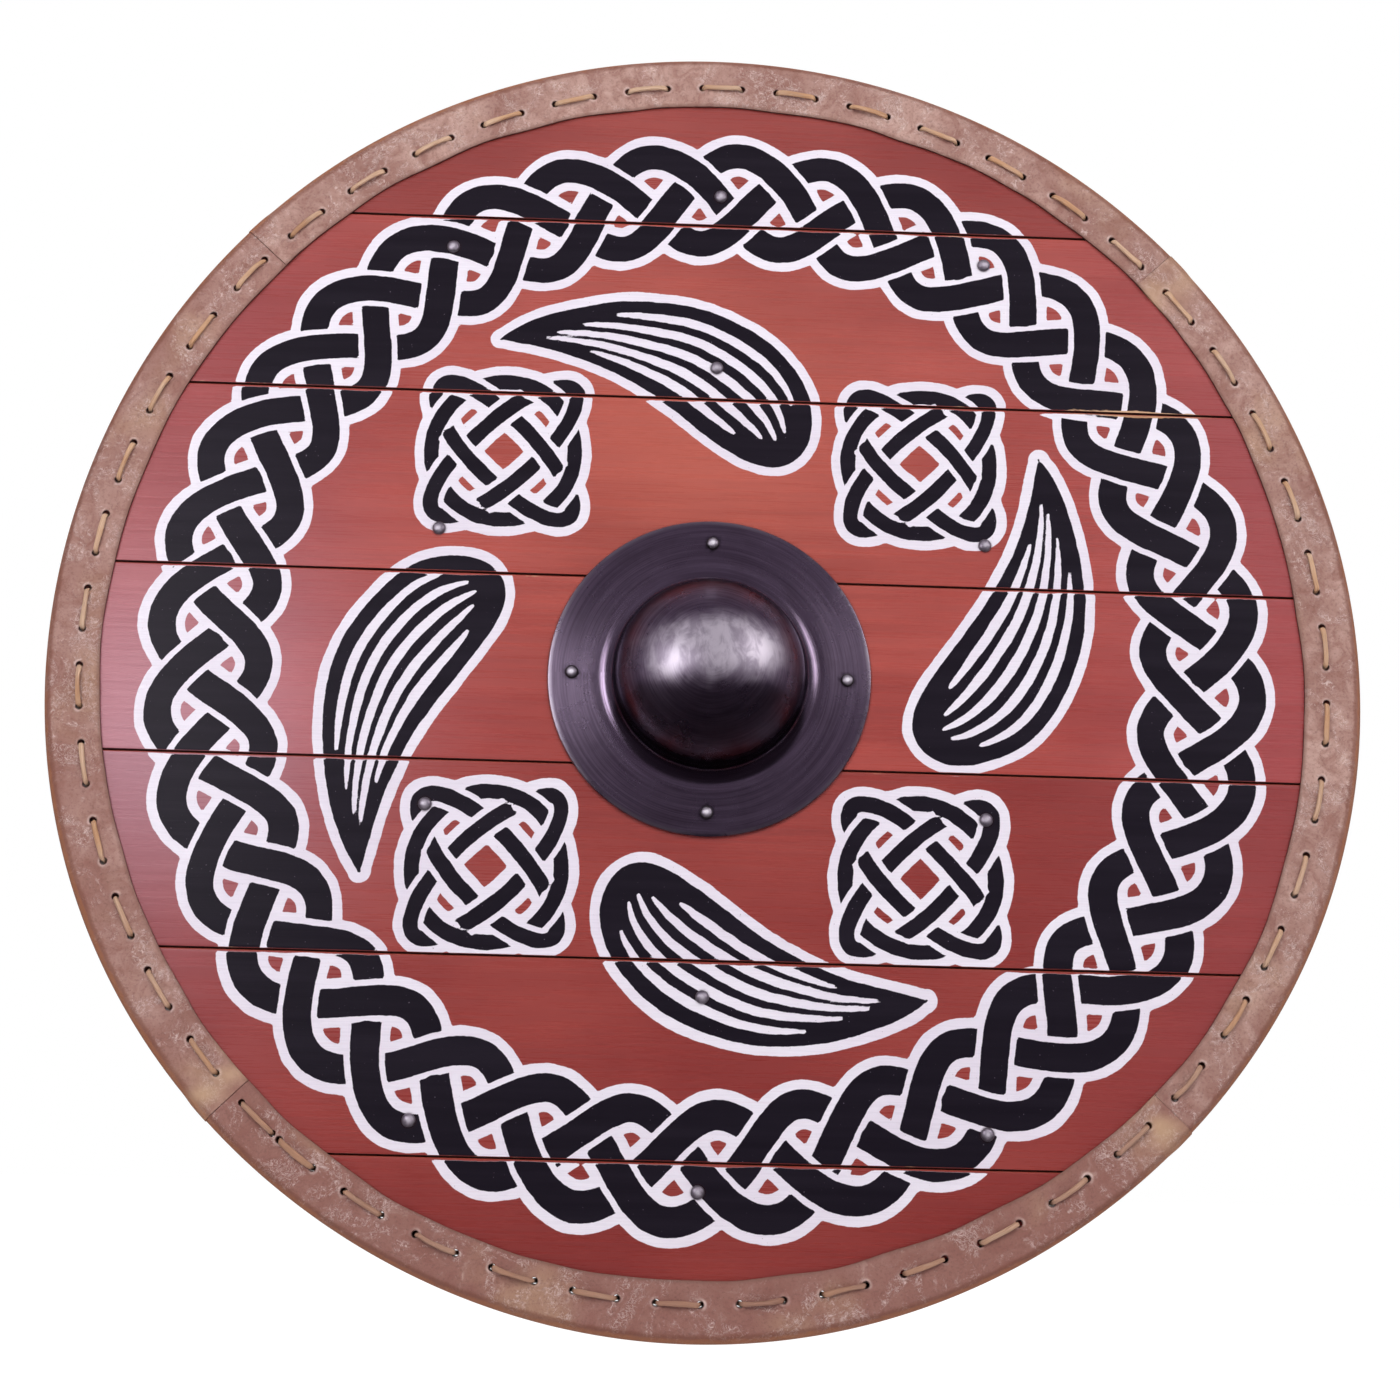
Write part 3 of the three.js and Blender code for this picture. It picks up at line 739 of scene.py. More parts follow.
def woven(points, strands, half):
    """Distances to the edges of the black bands and of their white ground, negative inside."""
    over = weave(strands, OVER_REACH_SHARE * half)
    above = [distance_to(points, strand[flags]) for strand, flags in zip(strands, over)]
    below = [distance_to(points, strand[~flags]) for strand, flags in zip(strands, over)]
    black = np.min(above, axis=0) - half
    for number in range(len(strands)):
        partners = np.min(above[:number] + above[number + 1:], axis=0)
        black = np.minimum(black, np.maximum(below[number] - half, half + WEAVE_GAP - partners))
    return black, np.min(above + below, axis=0) - half - OUTLINE


def plait(points):
    turn = turns(TURN * PLAIT_RADIUS * math.sqrt(2))
    strands = []
    for strand in range(PLAIT_STRANDS):
        swing = PLAIT_SWING * np.sin(PLAIT_WAVES * turn + TURN * strand / PLAIT_STRANDS)
        strands.append(polar(PLAIT_RADIUS + swing, turn))
    return woven(points, strands, PLAIT_HALF)


def knot(points, centre, angle):
    """A ring with two ellipses woven through it."""
    spin = np.array([[math.cos(angle), math.sin(angle)], [-math.sin(angle), math.cos(angle)]])
    loops = []
    for across, along in ((KNOT_RING, KNOT_RING), (KNOT_SHORT, KNOT_LONG), (KNOT_LONG, KNOT_SHORT)):
        turn = turns(TURN * max(across, along))
        loops.append(centre + np.stack([along * np.cos(turn), across * np.sin(turn)], axis=-1) @ spin)
    return woven(points, loops, KNOT_HALF)


def stroke(points, path, halves):
    """Distance to the edge of a brush stroke whose half width changes along its path."""
    return (np.sqrt(((points[:, None] - path[None]) ** 2).sum(-1)) - halves).min(1)


def arm(points, angle):
    """A curved, tapering arm of the whirl, with slits that follow its curve."""
    share = np.linspace(0, 1, ARM_STEPS)
    path = polar(ARM_INNER + (ARM_OUTER - ARM_INNER) * share, angle + ARM_TURN * share ** 1.3)
    half = np.maximum(ARM_HALF * np.sin(math.pi * share ** 0.7) ** 0.8, ARM_TIP)
    step = np.gradient(path, axis=0)
    across = np.stack([-step[:, 1], step[:, 0]], -1) / gap(step)[:, None]
    black = stroke(points, path, half)
    white = black - OUTLINE
    for side, first, last in ARM_SLIT_SHARES:
        part = (share > first) & (share < last)
        slit = path[part] + across[part] * (half[part] * side)[:, None]
        swell = np.sin(math.pi * (share[part] - first) / (last - first)) ** 0.5
        slit_half = ARM_SLIT_END + (ARM_SLIT - ARM_SLIT_END) * swell
        black = np.maximum(black, -stroke(points, slit, slit_half))
    return black, white


def draw_on(points, chosen, draw, *where):
    """A figure's two distances, worked out for the chosen points alone."""
    values = np.full((2, len(points)), FAR)
    if chosen.any():
        values[:, chosen] = draw(points[chosen], *where)
    return values


def pattern(points):
    """Distances from points on the painted face to the edges of the black and of the white."""
    sways = [(BRUSH_SWAY, BRUSH_SWAY_LENGTH, (11, 12)), (BRUSH_QUIVER, BRUSH_QUIVER_LENGTH, (13, 14))]
    points = points + sum(
        size * np.stack([ripples(points, length, seed) for seed in seeds], axis=1)
        for size, length, seeds in sways
    )
    radius = gap(points)
    band = np.abs(radius - PLAIT_RADIUS) < PLAIT_SWING + PLAIT_HALF + PATTERN_MARGIN
    layers = [draw_on(points, band, plait)]
    for number in range(KNOT_COUNT):
        angle = TURN * (number + 0.5) / KNOT_COUNT
        centre = polar(KNOT_PLACE, angle)
        near = gap(points, centre) < KNOT_LONG + KNOT_HALF + PATTERN_MARGIN
        layers.append(draw_on(points, near, knot, centre, angle))
    for number in range(ARM_COUNT):
        angle = TURN * number / ARM_COUNT - ARM_TURN * ARM_START_SHARE
        layers.append(draw_on(points, radius < ARM_OUTER + PATTERN_MARGIN, arm, angle))
    return np.min(layers, axis=0)


# Planks

HEAD_PLACES = [centre_of(name) for name in FASTENERS]
NAIL_HOLE = 1.9 * MM
LACE_HOLE = (2.2 * MM, 2.0 * MM)
PLANK_REACH = FOLD_RADIUS - 0.6 * MM  # the planks' ends, hidden inside the edging's fold
PLANK_STEP = 1.6 * MM
EASE_SHARES = np.array([1, 0.62, 0.3, 0.1, 0])  # of the chamfer, down its curve
PLANK_END_SHARE = 0.999  # of that reach, where the outer planks' pointed ends are cut off
SEAM_BARE = 1.3 * MM  # of each plank's upper edge, where the pattern stops
LOW_SEAM_BARE = 0.3 * MM  # of its lower edge
SEAM_SWAY = 0.4 * MM
SEAM_SWAY_LENGTH = 30 * MM
SEAM_EDGE = 0.2 * MM
SEAM_RED = 1.1 * MM
SEAM_DARK = 2 * MM  # depth at which a seam is all dark, as a dark joint
SEAM_WEAR = 2.6 * MM
CHIP_PLACE = (268 * MM, 183 * MM)  # where the paint has chipped off along the second seam
CHIP_REACH = (34 * MM, 4 * MM)
BRIGHT_PLACE = (-10 * MM, 150 * MM)
BRIGHT_REACH = (120 * MM, 120 * MM)
BLOOM_PLACE = (-330 * MM, -40 * MM)  # where a painted sheen lightens the left planks
BLOOM_REACH = (110 * MM, 100 * MM)
PINK_START, PINK_END = 170 * MM, 370 * MM  # to either side of the middle, between which a pinker painted sheen sets in
PLANK_TONE_SHARES = [0.34, 0.04, 0.0, 0.0, 0.42, 0.44, 0.5]
HEAD_GRIME = 2.6 * MM  # round each nail head, darkened by grime and painted shade
BOSS_GRIME_START, BOSS_GRIME_END = -2 * MM, 4 * MM  # from the boss's edge, darkened by grime and painted shade
BOSS_STAIN = 70 * MM


def make_cutters():
    lace_places = BOARD_MIDDLE + polar(STITCH_RADIUS, HOLE_ANGLES)
    return (
        prisms("lace_cutter", lace_places, *LACE_HOLE, HOLE_ANGLES),
        prisms("nail_cutter", HEAD_PLACES, NAIL_HOLE, NAIL_HOLE, [0] * len(HEAD_PLACES)),
        prisms("hand_cutter", [(0, HAND_HOLE_RISE)], *HAND_HOLE, [0], 96),
    )


def joint(half, height, depth):
    """A groove or, turned over, a tongue, as [level, height] pairs."""
    levels = [MIDDLE_LEVEL - half, MIDDLE_LEVEL - half, MIDDLE_LEVEL + half, MIDDLE_LEVEL + half]
    return np.stack([levels, [height, height - depth, height - depth, height]], 1)


def plank_section(number):
    """A plank's outline as [level, height] pairs, front face first, then top, back and bottom."""
    low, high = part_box(f"plank_{number}")
    end = PLANK_END_SHARE * PLANK_REACH
    top = high.z if number > 1 else BOARD_MIDDLE[1] + end
    bottom = low.z + TONGUE_DEPTH if number < PLANK_COUNT else BOARD_MIDDLE[1] - end
    ease = SEAM_CHAMFER * np.stack([EASE_SHARES, EASE_SHARES[::-1]], 1)
    heights = np.linspace(bottom + SEAM_CHAMFER, top - SEAM_CHAMFER, round((top - bottom) / PLANK_STEP))
    front = np.vstack([
        [BOARD_FRONT, bottom] + ease[:-1],
        np.stack([np.full(len(heights), BOARD_FRONT), heights], 1),
        [BOARD_FRONT, top] + ease[-2::-1] * [1, -1],
    ])
    ends = np.vstack([front[:len(ease)], front[-len(ease):]])
    parts = [front, ends[::-1] * [-1, 1] + [2 * MIDDLE_LEVEL, 0]]
    if number > 1:
        parts.insert(1, joint(TONGUE_THICKNESS / 2 + SEAT_GAP, top, TONGUE_DEPTH + SEAT_GAP))
    if number < PLANK_COUNT:
        parts.append(joint(TONGUE_THICKNESS / 2, bottom, TONGUE_DEPTH)[::-1])
    return np.vstack(parts), bottom, top


def plank_values(piece, number, bottom, top):
    """Values that the paint's finish reads at each point of a plank."""
    corners, flat = corners_of(piece)
    level, to_bottom, to_top = corners[:, 1], corners[:, 2] - bottom, top - corners[:, 2]
    to_seam = np.minimum(to_bottom if number < PLANK_COUNT else FAR, to_top if number > 1 else FAR)
    front = level < BOARD_FRONT + 1.2 * SEAM_CHAMFER
    below_edge = smooth(level - BOARD_FRONT, SEAM_CHAMFER, SEAM_DARK) * (to_seam < SEAM_EDGE)
    # painted shade on each plank's lower chamfer
    at_bottom = (1 - smooth(to_bottom, 0.5 * SEAM_CHAMFER, 1.1 * SEAM_CHAMFER)) * front

    from_middle = flat - BOARD_MIDDLE
    shown = (level < BOARD_FRONT + TOLERANCE) & (gap(from_middle) < CUT_RADIUS + CUT_OVERRUN)
    slip = BOARD_SLIP * np.array([math.sin(2.4 * number), math.cos(3.7 * number)])
    bare = np.where(to_bottom < to_top, LOW_SEAM_BARE, SEAM_BARE)
    bare_edge = bare + SEAM_SWAY * ripples(flat, SEAM_SWAY_LENGTH, 20 + number) - to_seam
    black, white = np.maximum(draw_on(from_middle + slip, shown, pattern), bare_edge)

    def patch(place, reach):
        return np.exp(-(((flat - place) / reach) ** 2).sum(1))

    past_boss = gap(flat) - half_width("boss")
    set_values(
        piece,
        board=number,
        front=front,
        black=black,
        white=white,
        seam=(1 - smooth(to_seam, SEAM_EDGE, SEAM_RED)) * front,
        deep=np.maximum(below_edge, at_bottom * (number < PLANK_COUNT)),
        tone=PLANK_TONE_SHARES[number - 1],
        bright=0.35 * patch(BRIGHT_PLACE, BRIGHT_REACH),
        # painted sheen on the left planks
        bloom=0.38 * patch(BLOOM_PLACE, BLOOM_REACH),
        # painted sheen, pinker towards both ends
        pink=0.5 * smooth(np.abs(flat[:, 0]), PINK_START, PINK_END),
        stain=1 - smooth(past_boss, 0, BOSS_STAIN),
        # grime with painted shade round the nail heads and along the boss's edge
        grime=0.68 * nearness(flat, HEAD_PLACES, 0.9 * half_width("nail_bar_1"), HEAD_GRIME)
        + 0.7 * (1 - smooth(past_boss, BOSS_GRIME_START, BOSS_GRIME_END)),
        wear=0.42 * patch(CHIP_PLACE, CHIP_REACH) + 0.22 * (1 - smooth(to_seam, 0, SEAM_WEAR)),
    )


def make_planks(material, lace, nails, hand):
    for number in range(1, PLANK_COUNT + 1):
        section, bottom, top = plank_section(number)
        half = np.sqrt(PLANK_REACH ** 2 - (section[:, 1] - BOARD_MIDDLE[1]) ** 2)
        columns = np.linspace(-1, 1, round(2 * half.max() / PLANK_STEP))
        points = np.empty((len(section), len(columns), 3))
        points[..., 0] = BOARD_MIDDLE[0] + half[:, None] * columns
        points[..., 1:] = section[:, None]
        piece = grid_piece(f"painted_plank_{number}", points, material)
        cut_holes(piece, lace)
        cut_holes(piece, nails)
        if number == (PLANK_COUNT + 1) // 2:
            cut_holes(piece, hand)
        plank_values(piece, number, bottom, top)
        finish_piece(piece, "painted_planks", f"plank_{number}")


# Edging

EDGING_STEP = 2.4 * MM
FINE_STEP = 0.7 * MM  # round each lace hole
FINE_REACH = 5.5 * MM
FOLD_STEPS = 12
INNER_STEPS = 6
HOLE_MARGIN = 3 * MM  # between the line of stitches and where the rim's unevenness starts
JOINT_GAP = 0.06 * MM  # after the wet hide has dried tight
LAP_LENGTH = 16 * MM
LAP_HEIGHT = 0.55 * MM
LIP_RADIUS = 3 * MM
LIP_WIDTH = 0.9 * MM
LIP_HEIGHT = 0.5 * MM
PALE_LIP_WIDTH = 0.75 * MM
HOLE_RADIUS, HOLE_SHADE_RADIUS = 1.9 * MM, 2.5 * MM
SURFACE_SWELL = 0.3 * MM
SWELL_LENGTH = 26 * MM
SMALL_SWELL_LENGTH = 9 * MM
CUT_WAVER = 0.7 * MM
CUT_WAVER_LENGTH = 60 * MM
CUT_ROUND = 1.2 * MM  # width over which the cut edge's corner is worn round
CUT_DROP = 0.5 * MM
CUT_SHADE_START, CUT_SHADE_END = 0.2 * MM, 1.6 * MM
FOLD_SMOOTH = 3 * MM  # beyond the fold's start, where the rawhide is stretched smooth
FOLD_SHADE = 3 * MM  # before the fold's start, where its painted shade sets in
RIM_INSET = 1.5 * MM  # of the rim's most worn line
SURFACE_SKIN = 0.9 * MM  # least height above the board of what counts as outside
OUTLINE_INSET = 0.9 * MM
# Unevenness of the rim, as [lobes, size, angle of the first lobe in degrees]
OUTLINE_LOBES = [(3, 0.5 * MM, 110), (4, 0.3 * MM, -64), (5, 0.6 * MM, -87)]
CUT_LOBES = [(3, 0.66 * MM, 87), (4, 1.3 * MM, -39), (5, 0.85 * MM, -101)]
# Darker strips, partly their own tone and partly painted shade
STRIP_TONE_SHARES = {"bottom": 0.85, "right": 0.05, "top": 0.0, "left": 0.45}
GOLDEN_JOINTS = [0, 1, 3]  # joints with a paler, golden patch beside them
GOLDEN_PLACE = -9 * MM  # from the joint
GOLDEN_REACH = 14 * MM
GOLDEN_PATCH_LENGTH = 22 * MM


def lobes(angles, table):
    return sum(size * np.cos(count * (angles - math.radians(first))) for count, size, first in table)


def joint_angle(stitch):
    whole_turn = TURN if stitch < 0 else 0
    start = STITCH_STARTS[stitch % STITCH_COUNT]
    return start - whole_turn - (STITCH_PITCH - STITCH_ANGLE) / 2


def refined(low, high, centres):
    """Even steps from low to high, with finer ones round each centre."""
    coarse = np.linspace(low, high, math.ceil((high - low) / EDGING_STEP) + 1)
    centres = np.asarray(centres)
    count = 2 * round(FINE_REACH / FINE_STEP) + 1
    fine = (centres[:, None] + np.linspace(-FINE_REACH, FINE_REACH, count)).ravel()
    apart = np.abs(coarse[:, None] - centres).min(1) > FINE_REACH + FINE_STEP / 2
    inside = (fine > low + FINE_STEP / 2) & (fine < high - FINE_STEP / 2)
    ends = (coarse == low) | (coarse == high)
    return np.unique(np.concatenate([coarse[apart | ends], fine[inside]]).round(7))


def folded(flats, reach, steps):
    """A line along the front, round the rim and along the back, as [radius, level] pairs."""
    turn = np.linspace(0, math.pi, steps + 1)[1:-1]
    return np.vstack([
        np.stack([flats, np.full(len(flats), MIDDLE_LEVEL - reach)], 1),
        np.stack([FOLD_RADIUS + reach * np.sin(turn), MIDDLE_LEVEL - reach * np.cos(turn)], 1),
        np.stack([flats[::-1], np.full(len(flats), MIDDLE_LEVEL + reach)], 1),
    ])


def strip_grid(start, end, holes):
    """The strip's points, in rows along it, outside first, with ends that slant to overlap."""
    inner_flats = np.linspace(CUT_RADIUS, FOLD_RADIUS, INNER_STEPS)
    inner = folded(inner_flats, EDGE_RADIUS + SEAT_GAP, INNER_STEPS)
    outer_flats = refined(CUT_RADIUS, FOLD_RADIUS, [STITCH_RADIUS])
    outer = folded(outer_flats, EDGE_RADIUS + SEAT_GAP + RAWHIDE, FOLD_STEPS)
    section = np.vstack([outer, inner[::-1]])
    outside = (np.arange(len(section)) < len(outer))[:, None]
    angles = refined(start * STITCH_RADIUS, end * STITCH_RADIUS, holes * STITCH_RADIUS) / STITCH_RADIUS

    slant = np.where(outside, 1.0, -1.0) * SCARF_LENGTH / 2 / STITCH_RADIUS
    opening = JOINT_GAP / 2 * math.hypot(RAWHIDE, SCARF_LENGTH) / RAWHIDE / STITCH_RADIUS
    to_start, to_end = (angles - start) * STITCH_RADIUS, (end - angles) * STITCH_RADIUS
    fade_start, fade_end = (1 - smooth(way, 0, 2 * SCARF_LENGTH) for way in (to_start, to_end))
    turn = angles + (slant + opening) * fade_start + (slant - opening) * fade_end

    radius, level = (section[:, column][:, None] + 0 * turn for column in (0, 1))
    facing = np.where(level < MIDDLE_LEVEL, -1.0, 1.0)
    waver = ripples(polar(SHIELD_RADIUS, turn), CUT_WAVER_LENGTH, 31)
    cut_share = 1 - smooth(radius, CUT_RADIUS, STITCH_RADIUS - HOLE_MARGIN)
    fold_share = smooth(radius, STITCH_RADIUS + HOLE_MARGIN, FOLD_RADIUS)
    lap = LAP_HEIGHT * smooth((LAP_LENGTH - to_end) / LAP_LENGTH, 0, 0.5)
    radius = radius + cut_share * (lobes(turn, CUT_LOBES) + CUT_WAVER * waver)
    radius = radius + fold_share * (lobes(turn, OUTLINE_LOBES) - OUTLINE_INSET + lap)

    flat = BOARD_MIDDLE + polar(radius, turn)
    from_hole = gaps(flat, BOARD_MIDDLE + polar(STITCH_RADIUS, holes)).min(0)
    swell = ripples(flat, SWELL_LENGTH, 32) + 0.5 * ripples(flat, SMALL_SWELL_LENGTH, 33)
    rise = SURFACE_SWELL * (swell - 0.6) + LIP_HEIGHT * bell(from_hole, LIP_RADIUS, LIP_WIDTH) + lap
    rise = rise * (1 - smooth(radius, FOLD_RADIUS, FOLD_RADIUS + FOLD_SMOOTH))
    drop = CUT_DROP * (1 - smooth(radius - radius.min(0), 0, CUT_ROUND))
    level = level + facing * outside * (rise - drop)
    return np.stack([flat[..., 0], level, flat[..., 1]], -1)


def edging_values(piece, side, end, holes, is_golden):
    corners, flat = corners_of(piece)
    radius, angle = gap(flat, BOARD_MIDDLE), np.arctan2(*(flat - BOARD_MIDDLE).T[::-1])
    from_holes = gaps(flat, BOARD_MIDDLE + polar(STITCH_RADIUS, holes))
    nearest, from_hole = from_holes.argmin(0), from_holes.min(0)
    ahead, past_end = ((angle - other + math.pi) % TURN - math.pi for other in (holes[nearest], end))
    past_lace = np.where(nearest % 2 == 0, -ahead, ahead) * STITCH_RADIUS / LIP_RADIUS
    outward = np.abs(corners[:, 1] - MIDDLE_LEVEL) > EDGE_RADIUS + SURFACE_SKIN
    from_cut = radius - (CUT_RADIUS + lobes(angle, CUT_LOBES))
    near_end = bell(past_end * STITCH_RADIUS, GOLDEN_PLACE, GOLDEN_REACH)
    patchy = np.clip(0.5 + 0.5 * ripples(flat, GOLDEN_PATCH_LENGTH, 34), 0, 1)
    worn = np.clip(0.2 + 0.4 * past_lace + 0.7 * ripples(flat, SMALL_SWELL_LENGTH, 35), 0, 1)
    in_hole = 1 - smooth(from_hole, HOLE_RADIUS, HOLE_SHADE_RADIUS)
    set_values(
        piece,
        # painted shade over the fold
        fold=smooth(radius, FOLD_RADIUS - FOLD_SHADE, SHIELD_RADIUS - RIM_INSET),
        lip=bell(from_hole, LIP_RADIUS, PALE_LIP_WIDTH) * outward * worn,
        tone=STRIP_TONE_SHARES[side],
        # painted shade in the lace holes and on the inner face against the board
        hole=np.maximum(in_hole, ~outward & (radius < FOLD_RADIUS)),
        cut=0.8 * (1 - smooth(from_cut, CUT_SHADE_START, CUT_SHADE_END)),
        golden=0.8 * is_golden * near_end * patchy,
    )


def make_edging(material, cutter):
    stitch = -1
    for index, side in enumerate(SIDES):
        following = stitch + STRIP_STITCHES[index]
        start, end = joint_angle(stitch), joint_angle(following)
        holes = HOLE_ANGLES[(HOLE_ANGLES > start) & (HOLE_ANGLES < end)]
        piece = grid_piece(f"rawhide_{side}", strip_grid(start, end, holes), material)
        cut_holes(piece, cutter)
        edging_values(piece, side, end, holes, index in GOLDEN_JOINTS)
        finish_piece(piece, "rawhide", f"edging_{side}")
        stitch = following


# Lace

LACE_SIDES = 12
LACE_SAMPLES = 7  # between two guide points
LACE_RISE = 1.2 * MM  # of its centre line above the rawhide
LACE_BULGE = 0.7 * MM
LACE_LEAN = 0.8 * MM  # toward the stitch it belongs to, inside its hole
LACE_SINK = 1 * MM
LACE_EXIT = 0.2 * MM  # depth in its hole from which it turns along the back
LACE_BOW = 0.2 * MM  # of each run behind, away from the rawhide
LACE_WANDER = 0.35 * MM
LACE_TAIL_BEND = 4 * MM
LACE_BEND = 2.6 * MM  # from a hole to the guide points that follow on the front
LACE_REST = 8 * MM
LACE_BACK_BEND = 3 * MM
LACE_ROUND_POWER = 0.7  # of its section: 1 is an ellipse
# Unevenness along the lace, as [size, length of its waves, seed]
LACE_TWISTS = [(0.5, 90 * MM, 41), (0.25, 25 * MM, 42)]
LACE_WIDTHS = (0.1, 30 * MM, 43)
LACE_DULLS = (0.2, 60 * MM, 44)
FIRST_STITCH_SHARE = 1.2
LACE_PINCH_START, LACE_PINCH_END = 0.4 * MM, 2.4 * MM  # depth in its hole where it narrows


def lace_guides():
    """Guide points as [angle, level, sideways], in order along the lace."""
    random = np.random.default_rng(5)
    mouth, behind = EDGING_BACK - LACE_EXIT, EDGING_BACK + LACE_RISE
    sunk, front = EDGING_FRONT + LACE_SINK, EDGING_FRONT - LACE_RISE
    lean, bend, rest, back_bend, tail, tail_bend = (
        length / STITCH_RADIUS
        for length in (LACE_LEAN, LACE_BEND, LACE_REST, LACE_BACK_BEND, LACE_TAIL, LACE_TAIL_BEND)
    )
    first, last = HOLE_ANGLES[0], HOLE_ANGLES[-1]
    guides = [[first + tail, behind, 0], [first + tail_bend, behind, 0]]
    for start in STITCH_STARTS:
        end = start + STITCH_ANGLE
        sway = random.uniform(-1, 1, 3) * LACE_WANDER
        proud = EDGING_FRONT - LACE_RISE - LACE_BULGE * random.uniform(0.3, 1.4)
        guides += [
            [start - lean, mouth, 0], [start, MIDDLE_LEVEL, 0], [start + lean, sunk, 0],
            [start + bend, front, sway[0]], [start + rest, proud, sway[1]],
            [end - rest, proud, sway[1]], [end - bend, front, sway[2]],
            [end - lean, sunk, 0], [end, MIDDLE_LEVEL, 0], [end + lean, mouth, 0],
        ]
        following = start + STITCH_PITCH
        guides += [
            [end + back_bend, behind, 0], [(end + following) / 2, behind + LACE_BOW, sway[0]],
            [following - back_bend, behind, 0],
        ]
    return np.array(guides[:-3] + [[last - back_bend, behind, 0], [last - tail, behind, 0]])


def through(guides):
    """A smooth line through the guide points."""
    padded = np.vstack([2 * guides[0] - guides[1], guides, 2 * guides[-1] - guides[-2]])
    share = np.arange(LACE_SAMPLES)[:, None] / LACE_SAMPLES
    runs = []
    for a, b, c, d in zip(padded, padded[1:], padded[2:], padded[3:]):
        square, cube = 2 * a - 5 * b + 4 * c - d, 3 * b - a - 3 * c + d
        runs.append(0.5 * (2 * b + (c - a) * share + square * share ** 2 + cube * share ** 3))
    return np.vstack(runs + [guides[-1:]])


def make_lace(material):
    angle, level, aside = through(lace_guides()).T
    flat = BOARD_MIDDLE + polar(STITCH_RADIUS + aside, angle)
    path = np.stack([flat[:, 0], level, flat[:, 1]], -1)
    outward = np.stack([np.cos(angle), 0 * angle, np.sin(angle)], -1)
    lift = unit(np.cross(unit(np.gradient(path, axis=0)), outward))
    along = np.concatenate([[0], np.cumsum(np.linalg.norm(np.diff(path, axis=0), axis=1))])

    def uneven(size, length, seed):
        return size * ripples(along[:, None], length, seed)

    twist = sum(uneven(*wave) for wave in LACE_TWISTS)[:, None]
    side = outward * np.cos(twist) + lift * np.sin(twist)
    lift = lift * np.cos(twist) - outward * np.sin(twist)
    width = LACE_WIDTH * (0.86 + uneven(*LACE_WIDTHS))
    width = width * np.where(along < LACE_TAIL + 2 * STITCH_LENGTH, FIRST_STITCH_SHARE, 1)
    depth = np.minimum(abs(level - EDGING_FRONT + LACE_RISE), abs(level - EDGING_BACK - LACE_RISE))
    width = width * (1 - 0.14 * smooth(depth, LACE_PINCH_START, LACE_PINCH_END))
    around = TURN * np.arange(LACE_SIDES) / LACE_SIDES
    across, tall = (
        (np.sign(wave) * np.abs(wave) ** LACE_ROUND_POWER)[:, None, None]
        for wave in (np.cos(around), np.sin(around))
    )
    points = path + across * side * (width / 2)[:, None] + tall * lift * (LACE_THICKNESS * 0.46)
    piece = grid_piece("lace", points, material)
    size, length, seed = LACE_DULLS
    # darker towards the bottom, with uneven patches
    dull = 0.75 * (1 - smooth(path[:, 2], -SHIELD_RADIUS, 0)) + size * ripples(path, length, seed)
    set_values(
        piece,
        along=np.tile(along, LACE_SIDES),
        around=np.repeat(around, len(path)),
        dull=np.tile(np.clip(dull, 0, 1), LACE_SIDES),
    )
    finish_piece(piece, "lace", "edging_lace")


# Boss

BOSS_SHEET = 1.8 * MM
FLANGE_RISE = 2 * MM
FLANGE_STEPS = 11
ROOT_WIDTH = 12 * MM
ROOT_HEIGHT = 9 * MM
ROOT_STEPS = 14
DOME_RADIUS = 59 * MM
DOME_STEPS = 30
BOSS_SEGMENTS = 192
RIM_ROUND = 0.6 * MM
WORN_RIM, BRIGHT_RIM = 2.2 * MM, 0.4 * MM  # from the flange's edge inwards
HOLLOW_START = 3 * MM  # from the dome's foot inwards
CROWN_PLACE = (1 * MM, 6 * MM)  # where the crown is painted lighter, as a broad painted highlight
CROWN_REACH = (50 * MM, 23 * MM)
# Grime with painted shade round each rivet head
RIVET_GRIME_START, RIVET_GRIME = 3.8 * MM, 1.6 * MM


def boss_line(inset):
    """One side of the boss, from its foot to its crown, as [radius, height above the board] pairs."""
    crown = BOARD_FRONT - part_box("boss")[0].y
    foot = DOME_RADIUS + ROOT_WIDTH
    wall = SEAT_GAP + BOSS_SHEET + FLANGE_RISE + ROOT_HEIGHT
    root = quarter_arc((foot, wall), -ROOT_WIDTH - inset, -ROOT_HEIGHT - inset, ROOT_STEPS)[::-1]
    dome = quarter_arc((0, wall), DOME_RADIUS - inset, crown - wall - inset, DOME_STEPS)
    line = np.vstack([root, dome[1:]])
    line[-1, 0] = 0
    return line


